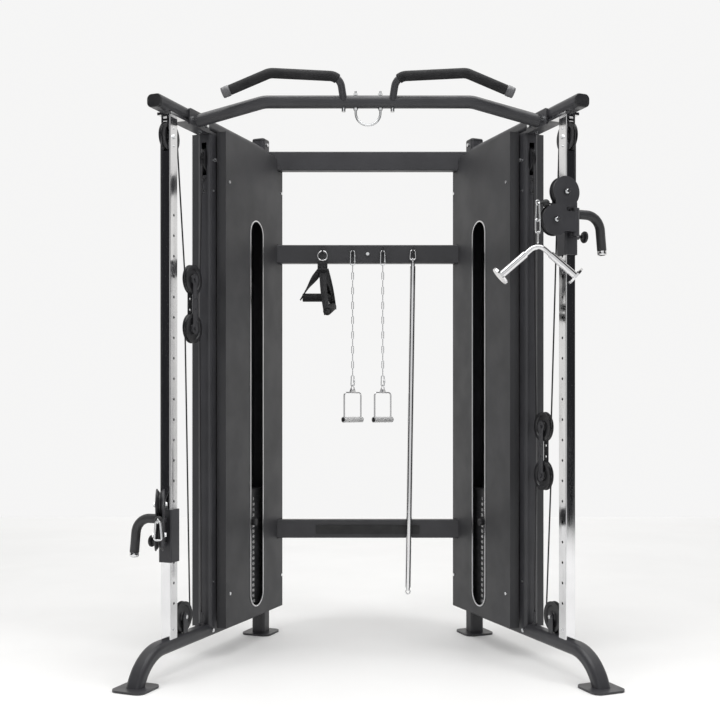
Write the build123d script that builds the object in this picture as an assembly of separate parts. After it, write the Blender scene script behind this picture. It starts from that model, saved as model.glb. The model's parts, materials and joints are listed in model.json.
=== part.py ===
"""Functional trainer: two toed-in side units, each with a chrome guide column, a sliding
pulley carriage, two steel cables and a shrouded weight stack, joined by crossbars at the
back and a pull-up bar at the front.

Millimetres, +Z up, origin on the floor at the centre of the plan. Each side unit is
modelled once in its own side frame and placed by placed(): x runs from the unit's own
centre plane towards the middle of the machine, y runs back along the unit from the centre
of the front foot plate, and z is up. The right unit is the mirror image of the left one,
with its carriage pinned at another height.
"""

from build123d import *
import math
import os

os.makedirs("parts", exist_ok=True)

# Plan of the machine
UNIT_ANGLE = 21.5
FOOT_HALF_SPAN = 810.0
FRONT_MOST, REAR_MOST = -76.0, 957.0
PLAN_CENTRE = (FRONT_MOST + REAR_MOST) / 2
SIDES = ("left", "right")

# Feet, base rail and top beam
FOOT_SIZE, FOOT_RADIUS, FOOT_THICK = 130.0, 28.0, 8.0
RAIL_WIDTH, RAIL_HEIGHT, RAIL_RADIUS, RAIL_WALL = 60.0, 48.0, 18.0, 2.5
RAIL_Z = 110.0
RAIL_TOP = RAIL_Z + RAIL_HEIGHT / 2
LEG_RADIUS = 166.0
LEG_END_Y = 153.0
LEG_SWEEP = 72.0
BEAM_Z = 2084.0
BEAM_FRONT, BEAM_UNDERSIDE = 120.0, 2060.0
PLATE_THICK = 10.0
POST_TOP = BEAM_UNDERSIDE - PLATE_THICK

# Uprights: centre along the unit, width across it, depth along it
COLUMN_Y, COLUMN_WIDTH, COLUMN_DEPTH, COLUMN_WALL = 213.0, 40.0, 50.0, 2.0
UPRIGHT_Y, UPRIGHT_WIDTH, UPRIGHT_DEPTH, UPRIGHT_WALL = 501.0, 60.0, 80.0, 3.0
REAR_Y, REAR_SIZE, REAR_TOP = 940.0, 60.0, 2133.0
HOLE_TOP, HOLE_PITCH, HOLE_COUNT, HOLE_RADIUS = 1687.0, 75.0, 20, 5.0

# Pulleys and cables
PULLEY_RADIUS, PULLEY_PITCH, PULLEY_HALF = 57.0, 53.0, 9.0
SMALL_RADIUS, SMALL_PITCH = 51.0, 47.0
CABLE_RADIUS, GROOVE_GAP, GROOVE_FLARE, GROOVE_FLAT = 3.0, 0.3, 0.9, 2.5
AXLE_RADIUS, AXLE_FIT, AXLE_SHOULDER = 5.0, 0.05, 9.0
COLUMN_PULLEY_Z, UPRIGHT_PULLEY_Z = 1975.0, 1953.0
BASE_PULLEY_Y, BASE_PULLEY_Z = 303.0, 195.0
SWIVEL_Y = COLUMN_Y - PULLEY_PITCH
FLOAT_Y, FLOAT_SPACING = 375.0, 186.0
FLOAT_AT_LEFT_HEIGHT = 1470.0
ANCHOR_Y, ANCHOR_Z = 440.0, 186.0

# Carriages: height of each sleeve's lower end, and the turn of each swivel block inwards
CARRIAGE_Z = {"left": 415.0, "right": 1540.0}
SWIVEL_TURN = {"left": 29.0, "right": 87.0}
SLEEVE_WIDTH, SLEEVE_DEPTH, SLEEVE_HEIGHT = 54.0, 60.0, 193.0
SLEEVE_GAP = 0.6
PIN_RISE, PIN_TRAVEL, FERRULE_LENGTH = 72.0, 9.0, 22.0
HANDLE_RISE, HANDLE_OUT, HANDLE_DROP, HANDLE_LEAN = 155.0, 112.0, 146.0, 14.0
HANDLE_BEND, HANDLE_TUBE, HANDLE_FOAM = 60.0, 12.5, 17.5
UPPER_AHEAD, UPPER_RISE = SMALL_PITCH, 219.0
LOWER_AHEAD, LOWER_RISE = 92.0, 115.0
LUG_RISE = 100.0
BALL_AHEAD, BALL_RADIUS = 128.0, 14.5

# Weight stacks
STACK_Y, STACK_WIDTH, STACK_DEPTH = 727.0, 105.0, 310.0
SEAT_THICK, BUMPER_HEIGHT = 6.0, 20.0
WEIGHT_PITCH, WEIGHT_THICK, WEIGHT_COUNT, LIFTED_COUNT = 22.5, 22.0, 20, 5
STACK_Z = RAIL_TOP + SEAT_THICK + BUMPER_HEIGHT
HEAD_THICK = 30.0
ROD_RADIUS, ROD_OFFSET, ROD_FIT = 9.0, 115.0, 1.0
ROD_TOP, ROD_PLATE_THICK = 1876.0, 6.0
STEM_RADIUS = 11.0
STACK_PULLEY_Y = STACK_Y - PULLEY_PITCH

# Shrouds
SHEET = 2.0
COVER_FACE, COVER_INNER_EDGE = 76.0, 35.5
COVER_FRONT, COVER_REAR = 499.0, 998.0
COVER_BOTTOM, COVER_TOP = 115.0, 2063.0
SLOT_Y, SLOT_WIDTH, SLOT_BOTTOM, SLOT_TOP = 756.5, 107.0, 159.0, 1753.0

# Crossbars: (lower edge, upper edge)
BAR_DEPTH, BAR_WALL = 40.0, 2.5
REAR_POST_X = FOOT_HALF_SPAN - REAR_Y * math.sin(math.radians(UNIT_ANGLE))
REAR_POST_Y = REAR_Y * math.cos(math.radians(UNIT_ANGLE)) - PLAN_CENTRE
TOP_BAR, ACCESSORY_BAR, LOWER_BAR = (2009.0, 2091.0), (1607.0, 1686.0), (415.0, 494.0)
HOOK_X = (-195.0, -65.0, 65.0, 195.0)
HOOK_Z, HOOK_RADIUS, HOOK_REACH = 1652.0, 4.0, 34.0

# Pull-up bar and its raised grips
PULL_RADIUS, PULL_WALL = 24.0, 2.5
PULL_Y = 322.0 - PLAN_CENTRE
PULL_Z, PULL_FLAT, PULL_END, PULL_END_Z = 2143.0, 395.0, 650.0, 2070.0
BRACKET_FACE, BRACKET_THICK, BRACKET_Y = 30.0, 8.0, 366.0
GRIP_TUBE, GRIP_FOAM, GRIP_ROOT_X = 14.0, 19.0, 93.0
RING_HALF, RING_ROD, RING_LOW = 47.0, 5.0, 2050.0

# Snap hooks, links and the accessories that hang by them
HANG_GAP = 0.3
CLIP_WIDTH, CLIP_HEIGHT, CLIP_WIRE, CLIP_TAPER = 26.0, 64.0, 3.5, 0.62
LINK_WIDTH, LINK_HEIGHT, LINK_WIRE = 20.0, 50.0, 3.0
EYE_RADIUS, EYE_WIRE = 8.0, 2.2
V_BAR_APEX, V_BAR_HALF, V_BAR_DROP = 1566.0, 134.0, 116.0
V_BAR_ROD, V_BAR_SLEEVE, V_BAR_DISC = 9.0, 12.5, 35.0
CHAIN_LINKS, CHAIN_LOOP, CHAIN_WIRE = 15, 36.2, 2.0
QUICK_WIDTH, QUICK_HEIGHT, QUICK_WIRE = 19.0, 50.0, 2.5
STIRRUP_WIDTH, STIRRUP_DROP, STIRRUP_TURN, STIRRUP_WIRE = 100.0, 142.0, 45.0, 3.5
LUG_HALF, LUG_DROP, LUG_THICK, LUG_HOLE = 19.0, 34.0, 4.0, 8.0
ROLLER_RADIUS = 12.5
STRAP_WIDTH, STRAP_THICK, GRIP_RADIUS, GRIP_HALF = 22.0, 3.0, 18.0, 62.0
LONG_BAR_TOP, LONG_BAR_LOW, LONG_BAR_LEAN = 1590.0, 205.0, 21.0


def placed(shape, side):
    """Moves a shape from the side frame to its place in the machine."""
    at = Pos(-FOOT_HALF_SPAN, -PLAN_CENTRE, 0) * Rot(0, 0, -UNIT_ANGLE) * shape
    return mirror(at, Plane.YZ) if side == "right" else at


def pair(shape):
    """The same shape on both side units."""
    return [placed(shape, side) for side in SIDES]


def write(name, *shapes):
    """One file of separate solids."""
    flat = [s for shape in shapes for s in (shape if isinstance(shape, list) else [shape])]
    solids = [solid for shape in flat for solid in shape.solids()]
    export_step(Compound(solids) if len(solids) > 1 else solids[0], f"parts/{name}.step")


def block(x, y, z):
    """Axis-aligned block from three (low, high) pairs."""
    size = [high - low for low, high in (x, y, z)]
    middle = [(high + low) / 2 for low, high in (x, y, z)]
    return Pos(*middle) * Box(*size)


def rod(start, end, radius):
    """Round rod between two points."""
    a, b = Vector(*start), Vector(*end)
    plane = Plane(origin=a, z_dir=b - a)
    return extrude(plane * Circle(radius), (b - a).length)


def rod_x(y, z, radius, x0, x1):
    """Round rod across the unit."""
    return rod((x0, y, z), (x1, y, z), radius)


def round_box_tube(width, depth, radius, z0, z1, wall=None):
    """Vertical tube, or solid bar when no wall is given, centred on the z axis."""
    solid = Pos(0, 0, z0) * extrude(RectangleRounded(width, depth, radius), z1 - z0)
    if wall is None:
        return solid
    inner = RectangleRounded(width - 2 * wall, depth - 2 * wall, max(radius - wall, 0.5))
    return solid - Pos(0, 0, z0) * extrude(inner, z1 - z0)


def rail_section(shrink=0.0):
    """Obround section of the rails and beams, or of the hollow inside them."""
    return RectangleRounded(
        RAIL_WIDTH - 2 * shrink, RAIL_HEIGHT - 2 * shrink, RAIL_RADIUS - shrink
    )


def rail_bar(y0, y1, z, shrink=0.0):
    """Straight obround bar along the unit."""
    plane = Plane(origin=(0, y0, z), x_dir=(1, 0, 0), z_dir=(0, 1, 0))
    return extrude(plane * rail_section(shrink), y1 - y0)


def base_bar(rail_end, shrink=0.0):
    """Obround bar forward along the base and down in one bend to the front foot plate."""

    def on_bend(degrees):
        turn = math.radians(degrees)
        back, up = LEG_RADIUS * math.sin(turn), LEG_RADIUS * math.cos(turn)
        return (0, LEG_END_Y - back, RAIL_Z - LEG_RADIUS + up)

    rear = (0, rail_end, RAIL_Z)
    straight = Line(rear, on_bend(0))
    bend = ThreePointArc(on_bend(0), on_bend(LEG_SWEEP / 2), on_bend(LEG_SWEEP))
    plane = Plane(origin=rear, x_dir=(1, 0, 0), z_dir=(0, -1, 0))
    return sweep(plane * rail_section(shrink), path=Wire([straight.edge(), bend.edge()]))


def bent_rod(points, radii, radius):
    """Round rod along straight runs joined by tangent arcs."""
    path = FilletPolyline(*points, radius=radii)
    return sweep(Plane(origin=path @ 0, z_dir=path % 0) * Circle(radius), path=path)


def foot_plate(y):
    return Pos(0, y, 0) * round_box_tube(FOOT_SIZE, FOOT_SIZE, FOOT_RADIUS, 0, FOOT_THICK)


def post_outline(z0, z1):
    return Pos(0, REAR_Y, 0) * round_box_tube(REAR_SIZE, REAR_SIZE, 12, z0, z1)


# ---------------------------------------------------------------- frame


def base_frame():
    """Foot plate, curved leg and rail in one weldment, with the seat plate of the stack."""
    rail_end = REAR_Y - REAR_SIZE / 2 + 12
    below = block((-100, 100), (-200, 200), (-200, FOOT_THICK))
    rail = base_bar(rail_end) - base_bar(rail_end, RAIL_WALL) - below - post_outline(50, 200)
    seat = block(
        (-50, 50), (STACK_Y - 160, STACK_Y + 160), (RAIL_TOP, RAIL_TOP + SEAT_THICK)
    )
    return rail + foot_plate(0) + seat


def rear_post():
    tube = Pos(0, REAR_Y, 0) * round_box_tube(REAR_SIZE, REAR_SIZE, 12, FOOT_THICK, REAR_TOP, 2.5)
    return tube + foot_plate(REAR_Y)


def coped(tube):
    """Cuts the foot of an upright to sit on the rail."""
    return tube - rail_bar(LEG_END_Y, REAR_Y, RAIL_Z)


def upright_slot(y, depth, centre, half_height):
    """Cut through both walls for the pulley that stands in the tube."""
    return block((-11, 11), (y - depth, y + depth), (centre - half_height, centre + half_height))


def guide_column():
    """Chromed column with its adjustment holes, and the chromed plate welded on top."""
    tube = Pos(0, COLUMN_Y, 0) * round_box_tube(
        COLUMN_WIDTH, COLUMN_DEPTH, 3, RAIL_Z, POST_TOP, COLUMN_WALL
    )
    for n in range(HOLE_COUNT):
        tube -= rod_x(COLUMN_Y, HOLE_TOP - n * HOLE_PITCH, HOLE_RADIUS, -30, 30)
    tube -= upright_slot(COLUMN_Y, 40, 1983, 63)
    plate = block((-29, 29), (178, 278), (POST_TOP, BEAM_UNDERSIDE))
    return coped(tube) + plate


def front_upright():
    tube = Pos(0, UPRIGHT_Y, 0) * round_box_tube(
        UPRIGHT_WIDTH, UPRIGHT_DEPTH, 15, RAIL_Z, POST_TOP, UPRIGHT_WALL
    )
    return coped(tube) - upright_slot(UPRIGHT_Y, 60, UPRIGHT_PULLEY_Z, 64)


def top_beam():
    """Beam over the unit with the plate that lands on the front upright."""
    beam = rail_bar(BEAM_FRONT, REAR_Y, BEAM_Z) - rail_bar(
        BEAM_FRONT, REAR_Y, BEAM_Z, RAIL_WALL
    )
    plate = block((-29, 29), (278, 541), (POST_TOP, BEAM_UNDERSIDE))
    return beam - post_outline(2000, 2200) + plate


def end_caps():
    """Plastic caps on the front of the beam and the top of the rear post."""
    beam_cap = rail_bar(BEAM_FRONT - 8, BEAM_FRONT, BEAM_Z)
    beam_cap = fillet(beam_cap.edges().group_by(Axis.Y)[0], 4)
    post_cap = post_outline(REAR_TOP, REAR_TOP + 14)
    post_cap = fillet(post_cap.edges().group_by(Axis.Z)[-1], 8)
    return pair(beam_cap) + pair(post_cap)


def crossbar(low, high):
    """Box-section bar from one rear post to the other, its ends cut to meet them."""
    middle = Pos(0, REAR_POST_Y, (low + high) / 2)
    outer = middle * Box(2 * REAR_POST_X, BAR_DEPTH, high - low)
    outer = fillet(outer.edges().filter_by(Axis.X), 5)
    inner = middle * Box(
        2 * REAR_POST_X + 10, BAR_DEPTH - 2 * BAR_WALL, high - low - 2 * BAR_WALL
    )
    bar = outer - inner
    for post in pair(post_outline(0, REAR_TOP)):
        bar -= post
    return max(bar.solids(), key=lambda solid: solid.volume)


def accessory_hook(x):
    """Round peg out of the bar's front with an upturned end."""
    face = REAR_POST_Y - BAR_DEPTH / 2
    points = [
        (x, face - HOOK_REACH, HOOK_Z + 20),
        (x, face - HOOK_REACH, HOOK_Z),
        (x, face, HOOK_Z),
    ]
    flange = rod((x, face - 3, HOOK_Z), (x, face, HOOK_Z), 11)
    return bent_rod(points, 9, HOOK_RADIUS) + flange


def accessory_crossbar():
    bar = crossbar(*ACCESSORY_BAR)
    for x in HOOK_X:
        bar += accessory_hook(x)
    return bar


def lower_panel():
    """Rubber pad let into the front of the lower crossbar."""
    face = REAR_POST_Y - BAR_DEPTH / 2
    pad = block((-225, 225), (face - 3, face), (LOWER_BAR[0] + 18, LOWER_BAR[1] - 22))
    return fillet(pad.edges().filter_by(Axis.Y), 6)


# ---------------------------------------------------------------- shrouds


def bar_cutouts():
    """Holes in the inner shroud where the crossbars pass through."""
    side_face = [
        block((60, 90), (946, 994.5), (low - 2, high + 2))
        for low, high in (TOP_BAR, ACCESSORY_BAR, LOWER_BAR)
    ]
    return side_face + [block((30, 90), (928, 994.5), (COVER_TOP - 10, COVER_TOP + 10))]


def cover(sign):
    """Folded sheet: side face with front, rear and top returns."""
    inner, outer = COVER_INNER_EDGE, COVER_FACE
    x_face = sorted((sign * (outer - SHEET), sign * outer))
    x_return = sorted((sign * inner, sign * outer))
    z = (COVER_BOTTOM, COVER_TOP)
    face = block(x_face, (COVER_FRONT, COVER_REAR), z)
    front = block(x_return, (COVER_FRONT, COVER_FRONT + SHEET), z)
    rear = block(x_return, (COVER_REAR - SHEET, COVER_REAR), z)
    top = block(x_return, (COVER_FRONT, COVER_REAR), (COVER_TOP - SHEET, COVER_TOP))
    return face + front + rear + top


def slot_shape(grow, x0, x1):
    """Long hole with round ends in the shroud's side face."""
    width = SLOT_WIDTH + 2 * grow
    length = SLOT_TOP - SLOT_BOTTOM + 2 * grow
    plane = Plane(
        origin=(x0, SLOT_Y, (SLOT_BOTTOM + SLOT_TOP) / 2), x_dir=(0, 0, 1), z_dir=(1, 0, 0)
    )
    return extrude(plane * SlotOverall(length, width), x1 - x0)


def inner_cover():
    shell = cover(1) - slot_shape(0, 60, 90)
    for hole in bar_cutouts():
        shell -= hole
    return shell


def slot_trim():
    return slot_shape(4, COVER_FACE, COVER_FACE + 2.5) - slot_shape(-1, 60, 90)


# ---------------------------------------------------------------- pull-up bar


def pull_bar_path():
    return [
        (-PULL_END - 25, PULL_Y, PULL_END_Z - 7),
        (-PULL_FLAT, PULL_Y, PULL_Z),
        (PULL_FLAT, PULL_Y, PULL_Z),
        (PULL_END + 25, PULL_Y, PULL_END_Z - 7),
    ]


def pull_up_bar():
    """Bent tube between the two beams with its end brackets and the raised grip tubes."""
    outer = bent_rod(pull_bar_path(), 110, PULL_RADIUS)
    bar = outer - bent_rod(pull_bar_path(), 110, PULL_RADIUS - PULL_WALL)
    beyond = block((-150, BRACKET_FACE + BRACKET_THICK), (200, 520), (1980, 2200))
    for cut in pair(beyond):
        bar -= cut
    bar = max(bar.solids(), key=lambda solid: solid.volume)
    plate = block(
        (BRACKET_FACE, BRACKET_FACE + BRACKET_THICK),
        (BRACKET_Y - 72, BRACKET_Y + 72),
        (2043, 2104),
    )
    plate = fillet(plate.edges().filter_by(Axis.X), 8)
    for bracket in pair(plate):
        bar += bracket
    for sign in (-1, 1):
        bar += grip_rod(sign, GRIP_TUBE, whole=True) - outer
    return bar


def grip_points(sign):
    """Centreline of a raised grip, from its root on the bar to its free end."""
    return [
        (sign * GRIP_ROOT_X, PULL_Y - 14, PULL_Z + 4),
        (sign * 106, PULL_Y - 40, PULL_Z + 84),
        (sign * 368, PULL_Y - 58, PULL_Z + 91),
        (sign * 546, PULL_Y - 58, PULL_Z + 15),
    ]


def grip_rod(sign, radius, whole):
    """Rod along the grip; when not whole, only the stretch that carries foam."""
    body = bent_rod(grip_points(sign), [45, 60], radius)
    if whole:
        return body
    root = block((-150, 150), (PULL_Y - 120, PULL_Y + 60), (PULL_Z - 30, PULL_Z + 48))
    return body - root


def foam_grip(sign):
    return grip_rod(sign, GRIP_FOAM, whole=False) - grip_rod(sign, GRIP_TUBE, whole=True)


def hanging_ring():
    """U-bolt through the bar with washers and nuts above it."""
    bend_z = RING_LOW + RING_ROD + RING_HALF
    leg_top = PULL_Z + PULL_RADIUS + 16
    legs = [
        rod((x, PULL_Y, PULL_Z + PULL_RADIUS), (x, PULL_Y, leg_top), RING_ROD)
        for x in (-RING_HALF, RING_HALF)
    ]
    lower = [
        rod((x, PULL_Y, bend_z), (x, PULL_Y, PULL_Z - PULL_RADIUS), RING_ROD)
        for x in (-RING_HALF, RING_HALF)
    ]
    nuts = [
        Pos(x, PULL_Y, z) * extrude(RegularPolygon(9, 6), 8)
        for x in (-RING_HALF, RING_HALF)
        for z in (PULL_Z + PULL_RADIUS, PULL_Z - PULL_RADIUS - 8)
    ]
    ring = ring_bend(bend_z)
    for piece in legs + lower + nuts:
        ring += piece
    return ring


def ring_bend(bend_z):
    """Lower half circle of the U-bolt."""
    section = Plane.XY * Pos(RING_HALF, 0) * Circle(RING_ROD)
    axis = Axis((0, 0, 0), (0, 1, 0))
    half = revolve(section, axis=axis, revolution_arc=180)
    return Pos(0, PULL_Y, bend_z) * half


# ---------------------------------------------------------------- pulleys and cables


def pulley(radius, pitch):
    """Grooved pulley turning about the x axis, with a running bore."""
    bore = AXLE_RADIUS + AXLE_FIT
    root = pitch - CABLE_RADIUS - GROOVE_GAP
    groove = CABLE_RADIUS + GROOVE_FLARE
    profile = Polyline(
        (-PULLEY_HALF, bore),
        (PULLEY_HALF, bore),
        (PULLEY_HALF, 16),
        (4.5, 19),
        (4.5, root - 9),
        (PULLEY_HALF, root - 6),
        (PULLEY_HALF, radius),
        (groove + 3, radius),
        (groove, pitch),
        (GROOVE_FLAT, root),
        (-GROOVE_FLAT, root),
        (-groove, pitch),
        (-groove - 3, radius),
        (-PULLEY_HALF, radius),
        (-PULLEY_HALF, root - 6),
        (-4.5, root - 9),
        (-4.5, 19),
        (-PULLEY_HALF, 16),
        close=True,
    )
    return revolve(make_face(profile), axis=Axis.X)


def at_unit(y, z, shape):
    return Pos(0, y, z) * shape


def axle(y, z, half_width):
    """Pulley axle with shoulders that fill the space up to the walls that hold it."""
    pin = rod_x(y, z, AXLE_RADIUS, -half_width, half_width)
    for sign in (-1, 1):
        low, high = sorted((sign * (PULLEY_HALF + 0.4), sign * half_width))
        pin += rod_x(y, z, AXLE_SHOULDER, low, high)
    return pin


def tangent(centre_a, side_a, radius_a, centre_b, side_b, radius_b):
    """Ends of the straight run from one pulley to the next, in the (y, z) plane.

    side is +1 where the pulley's centre is on the left of the cable's travel, -1 on its right.
    """
    dy, dz = centre_b[0] - centre_a[0], centre_b[1] - centre_a[1]
    span = math.hypot(dy, dz)
    heading = math.atan2(dz, dy) - math.asin((side_b * radius_b - side_a * radius_a) / span)
    normal = (-math.sin(heading), math.cos(heading))
    a = [c - side_a * radius_a * n for c, n in zip(centre_a, normal)]
    b = [c - side_b * radius_b * n for c, n in zip(centre_b, normal)]
    return tuple(a), tuple(b)


def belt_edges(stops):
    """Straight and round stretches of a cable over stops of (centre, side, radius)."""
    edges, ends = [], []
    for a, b in zip(stops, stops[1:]):
        ends.append(tangent(*a, *b))
    for n, (a, b) in enumerate(ends):
        edges.append(Edge.make_line((0, *a), (0, *b)))
        if n + 1 < len(ends):
            centre, side, radius = stops[n + 1]
            start = math.atan2(b[1] - centre[1], b[0] - centre[0])
            leave = ends[n + 1][0]
            stop = math.atan2(leave[1] - centre[1], leave[0] - centre[0])
            turn = (stop - start) * side % (2 * math.pi)
            half = start + side * turn / 2
            middle = (centre[0] + radius * math.cos(half), centre[1] + radius * math.sin(half))
            edges.append(Edge.make_three_point_arc((0, *b), (0, *middle), (0, *leave)))
    return edges


def swept_cable(edges):
    path = Wire(edges)
    return sweep(Plane(origin=path @ 0, z_dir=path % 0) * Circle(CABLE_RADIUS), path=path)


def float_z(side):
    """Height of the floating block's upper axle: it drops half as far as the carriage rises."""
    return FLOAT_AT_LEFT_HEIGHT - (CARRIAGE_Z[side] - CARRIAGE_Z["left"]) / 2


def head_top():
    return STACK_Z + WEIGHT_COUNT * WEIGHT_PITCH + HEAD_THICK


def block_point(side, ahead, z):
    """Point in the swivel block's own plane, ahead of the swivel axis, in the side frame."""
    turn = math.radians(SWIVEL_TURN[side])
    return (ahead * math.sin(turn), SWIVEL_Y - ahead * math.cos(turn), z)


def exit_height(side):
    return CARRIAGE_Z[side] + UPPER_RISE - SMALL_PITCH


def long_cable(side):
    """From the ball stop through the swivel block and over every upper pulley to the stack."""
    upper_z = CARRIAGE_Z[side] + UPPER_RISE
    bend = math.radians(45)
    ball_face = BALL_AHEAD - BALL_RADIUS
    start = block_point(side, ball_face, exit_height(side))
    under = block_point(side, UPPER_AHEAD, exit_height(side))
    middle = block_point(
        side,
        UPPER_AHEAD - SMALL_PITCH * math.sin(bend),
        upper_z - SMALL_PITCH * math.cos(bend),
    )
    rear = (0, SWIVEL_Y, upper_z)
    stops = [
        ((SWIVEL_Y, upper_z), 1, 0),
        ((COLUMN_Y, COLUMN_PULLEY_Z), -1, PULLEY_PITCH),
        ((FLOAT_Y, float_z(side)), 1, PULLEY_PITCH),
        ((UPRIGHT_Y, UPRIGHT_PULLEY_Z), -1, PULLEY_PITCH),
        ((STACK_PULLEY_Y, UPRIGHT_PULLEY_Z), -1, PULLEY_PITCH),
        ((STACK_Y, head_top() + 40), 1, 0),
    ]
    edges = [Edge.make_line(start, under), Edge.make_three_point_arc(under, middle, rear)]
    return swept_cable(edges + belt_edges(stops))


def short_cable(side):
    """From the carriage round the base pulley and the lower floating pulley to the anchor."""
    line_y = BASE_PULLEY_Y - PULLEY_PITCH
    stops = [
        ((line_y, CARRIAGE_Z[side] + LUG_RISE), 1, 0),
        ((BASE_PULLEY_Y, BASE_PULLEY_Z), 1, PULLEY_PITCH),
        ((FLOAT_Y, float_z(side) - FLOAT_SPACING), -1, PULLEY_PITCH),
        ((ANCHOR_Y, ANCHOR_Z + 1), 1, 0),
    ]
    return swept_cable(belt_edges(stops))


def pulley_brackets():
    """Cheeks and axles of the fixed pulleys, the guide rods' top plate and the cable anchor."""
    cheeks = []
    for low, high in ((-15, -12), (12, 15)):
        base = block((low, high), (BASE_PULLEY_Y - 15, BASE_PULLEY_Y + 15), (RAIL_Z, BASE_PULLEY_Z))
        base += rod_x(BASE_PULLEY_Y, BASE_PULLEY_Z, 15, low, high)
        cheeks.append(base - rail_bar(LEG_END_Y, REAR_Y, RAIL_Z))
    hanger = block((-20, 20), (STACK_PULLEY_Y - 32, STACK_PULLEY_Y + 32), (POST_TOP, BEAM_UNDERSIDE))
    for low, high in ((-15, -12), (12, 15)):
        hanger += block(
            (low, high), (STACK_PULLEY_Y - 20, STACK_PULLEY_Y + 20), (UPRIGHT_PULLEY_Z, POST_TOP)
        )
        hanger += rod_x(STACK_PULLEY_Y, UPRIGHT_PULLEY_Z, 20, low, high)
    top = ROD_TOP + ROD_PLATE_THICK
    rod_plate = block(
        (-25, 25), (UPRIGHT_Y + UPRIGHT_DEPTH / 2, REAR_Y - REAR_SIZE / 2), (ROD_TOP, top)
    )
    rod_plate -= rod((0, STACK_Y, ROD_TOP), (0, STACK_Y, top), 8)
    axles = [
        axle(BASE_PULLEY_Y, BASE_PULLEY_Z, 12),
        axle(STACK_PULLEY_Y, UPRIGHT_PULLEY_Z, 12),
        axle(COLUMN_Y, COLUMN_PULLEY_Z, COLUMN_WIDTH / 2 - COLUMN_WALL),
        axle(UPRIGHT_Y, UPRIGHT_PULLEY_Z, UPRIGHT_WIDTH / 2 - UPRIGHT_WALL),
    ]
    anchor = rod((0, ANCHOR_Y, RAIL_TOP), (0, ANCHOR_Y, ANCHOR_Z), 6)
    anchor += Pos(0, ANCHOR_Y, RAIL_TOP) * extrude(RegularPolygon(11, 6), 9)
    return [piece for shape in [*cheeks, hanger, rod_plate, *axles, anchor] for piece in pair(shape)]


def floating_block(side):
    """Two narrow plates with the two axles and the pins that keep the cable in its grooves."""
    top = float_z(side)
    low = top - FLOAT_SPACING
    body = axle(FLOAT_Y, top, 10) + axle(FLOAT_Y, low, 10)
    for x0, x1 in ((-13, -10), (10, 13)):
        plate = block((x0, x1), (FLOAT_Y - 15, FLOAT_Y + 15), (low, top))
        plate += rod_x(FLOAT_Y, top, 22, x0, x1) + rod_x(FLOAT_Y, low, 22, x0, x1)
        for z in (top - 72, low + 72):
            plate -= rod_x(FLOAT_Y, z, 5, x0, x1)
        body += plate
    for z in (top, low):
        for sign in (-1, 1):
            a, b = sorted((sign * 13, sign * 18))
            body += rod_x(FLOAT_Y, z, 8, a, b)
    return body


# ---------------------------------------------------------------- weight stack


def rod_holes(z0, z1, radius):
    return [
        rod((0, STACK_Y + sign * ROD_OFFSET, z0), (0, STACK_Y + sign * ROD_OFFSET, z1), radius)
        for sign in (-1, 1)
    ]


def weight_plate(n):
    """One plate, counted from the bottom, with its rod holes, stem hole and pin hole."""
    low = STACK_Z + n * WEIGHT_PITCH
    high = low + WEIGHT_THICK
    plate = Pos(0, STACK_Y, 0) * round_box_tube(STACK_WIDTH, STACK_DEPTH, 6, low, high)
    for hole in rod_holes(low, high, ROD_RADIUS + ROD_FIT):
        plate -= hole
    plate -= rod((0, STACK_Y, low), (0, STACK_Y, high), STEM_RADIUS + 1.5)
    return plate - rod_x(STACK_Y, low + WEIGHT_THICK / 2, 5.5, 0, STACK_WIDTH / 2 + 5)


def resting_plates():
    return [weight_plate(n) for n in range(WEIGHT_COUNT - LIFTED_COUNT)]


def pin_z():
    """Centre of the hole in the lowest lifted plate."""
    return STACK_Z + (WEIGHT_COUNT - LIFTED_COUNT) * WEIGHT_PITCH + WEIGHT_THICK / 2


def lifted_weights():
    """Plates above the pin, the head plate, the selector stem and the cable's end fitting."""
    plates = [weight_plate(n) for n in range(WEIGHT_COUNT - LIFTED_COUNT, WEIGHT_COUNT)]
    low = STACK_Z + WEIGHT_COUNT * WEIGHT_PITCH
    head = Pos(0, STACK_Y, 0) * round_box_tube(STACK_WIDTH, STACK_DEPTH, 6, low, low + HEAD_THICK)
    for hole in rod_holes(low, low + HEAD_THICK, ROD_RADIUS + ROD_FIT):
        head -= hole
    stem = rod((0, STACK_Y, STACK_Z), (0, STACK_Y, low), STEM_RADIUS)
    for n in range(WEIGHT_COUNT):
        hole_z = STACK_Z + n * WEIGHT_PITCH + WEIGHT_THICK / 2
        stem -= rod_x(STACK_Y, hole_z, 5.5, -STEM_RADIUS - 2, STEM_RADIUS + 2)
    fitting = rod((0, STACK_Y, head_top()), (0, STACK_Y, head_top() + 40), 8)
    fitting += Pos(0, STACK_Y, head_top()) * extrude(RegularPolygon(15, 6), 12)
    return plates + [head + stem + fitting]


def selector_pin():
    """Pin through the lowest lifted plate and the stem, with its moulded handle."""
    shank = rod_x(STACK_Y, pin_z(), 4.9, -STEM_RADIUS, 62)
    collar = rod_x(STACK_Y, pin_z(), 8, STACK_WIDTH / 2 + 1, 62)
    knob = rod_x(STACK_Y, pin_z(), 14, 62, 92)
    return shank + collar + fillet(knob.edges(), 4)


def stack_bumpers():
    low = RAIL_TOP + SEAT_THICK
    pads = []
    for sign in (-1, 1):
        y = STACK_Y + sign * ROD_OFFSET
        pad = rod((0, y, low), (0, y, STACK_Z), 26) - rod((0, y, low), (0, y, STACK_Z), ROD_RADIUS)
        pads.append(pad)
    return [piece for pad in pads for piece in pair(pad)]


def guide_rods():
    shafts = rod_holes(RAIL_TOP + SEAT_THICK, ROD_TOP, ROD_RADIUS)
    return [piece for shaft in shafts for piece in pair(shaft)]


# ---------------------------------------------------------------- carriage


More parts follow.
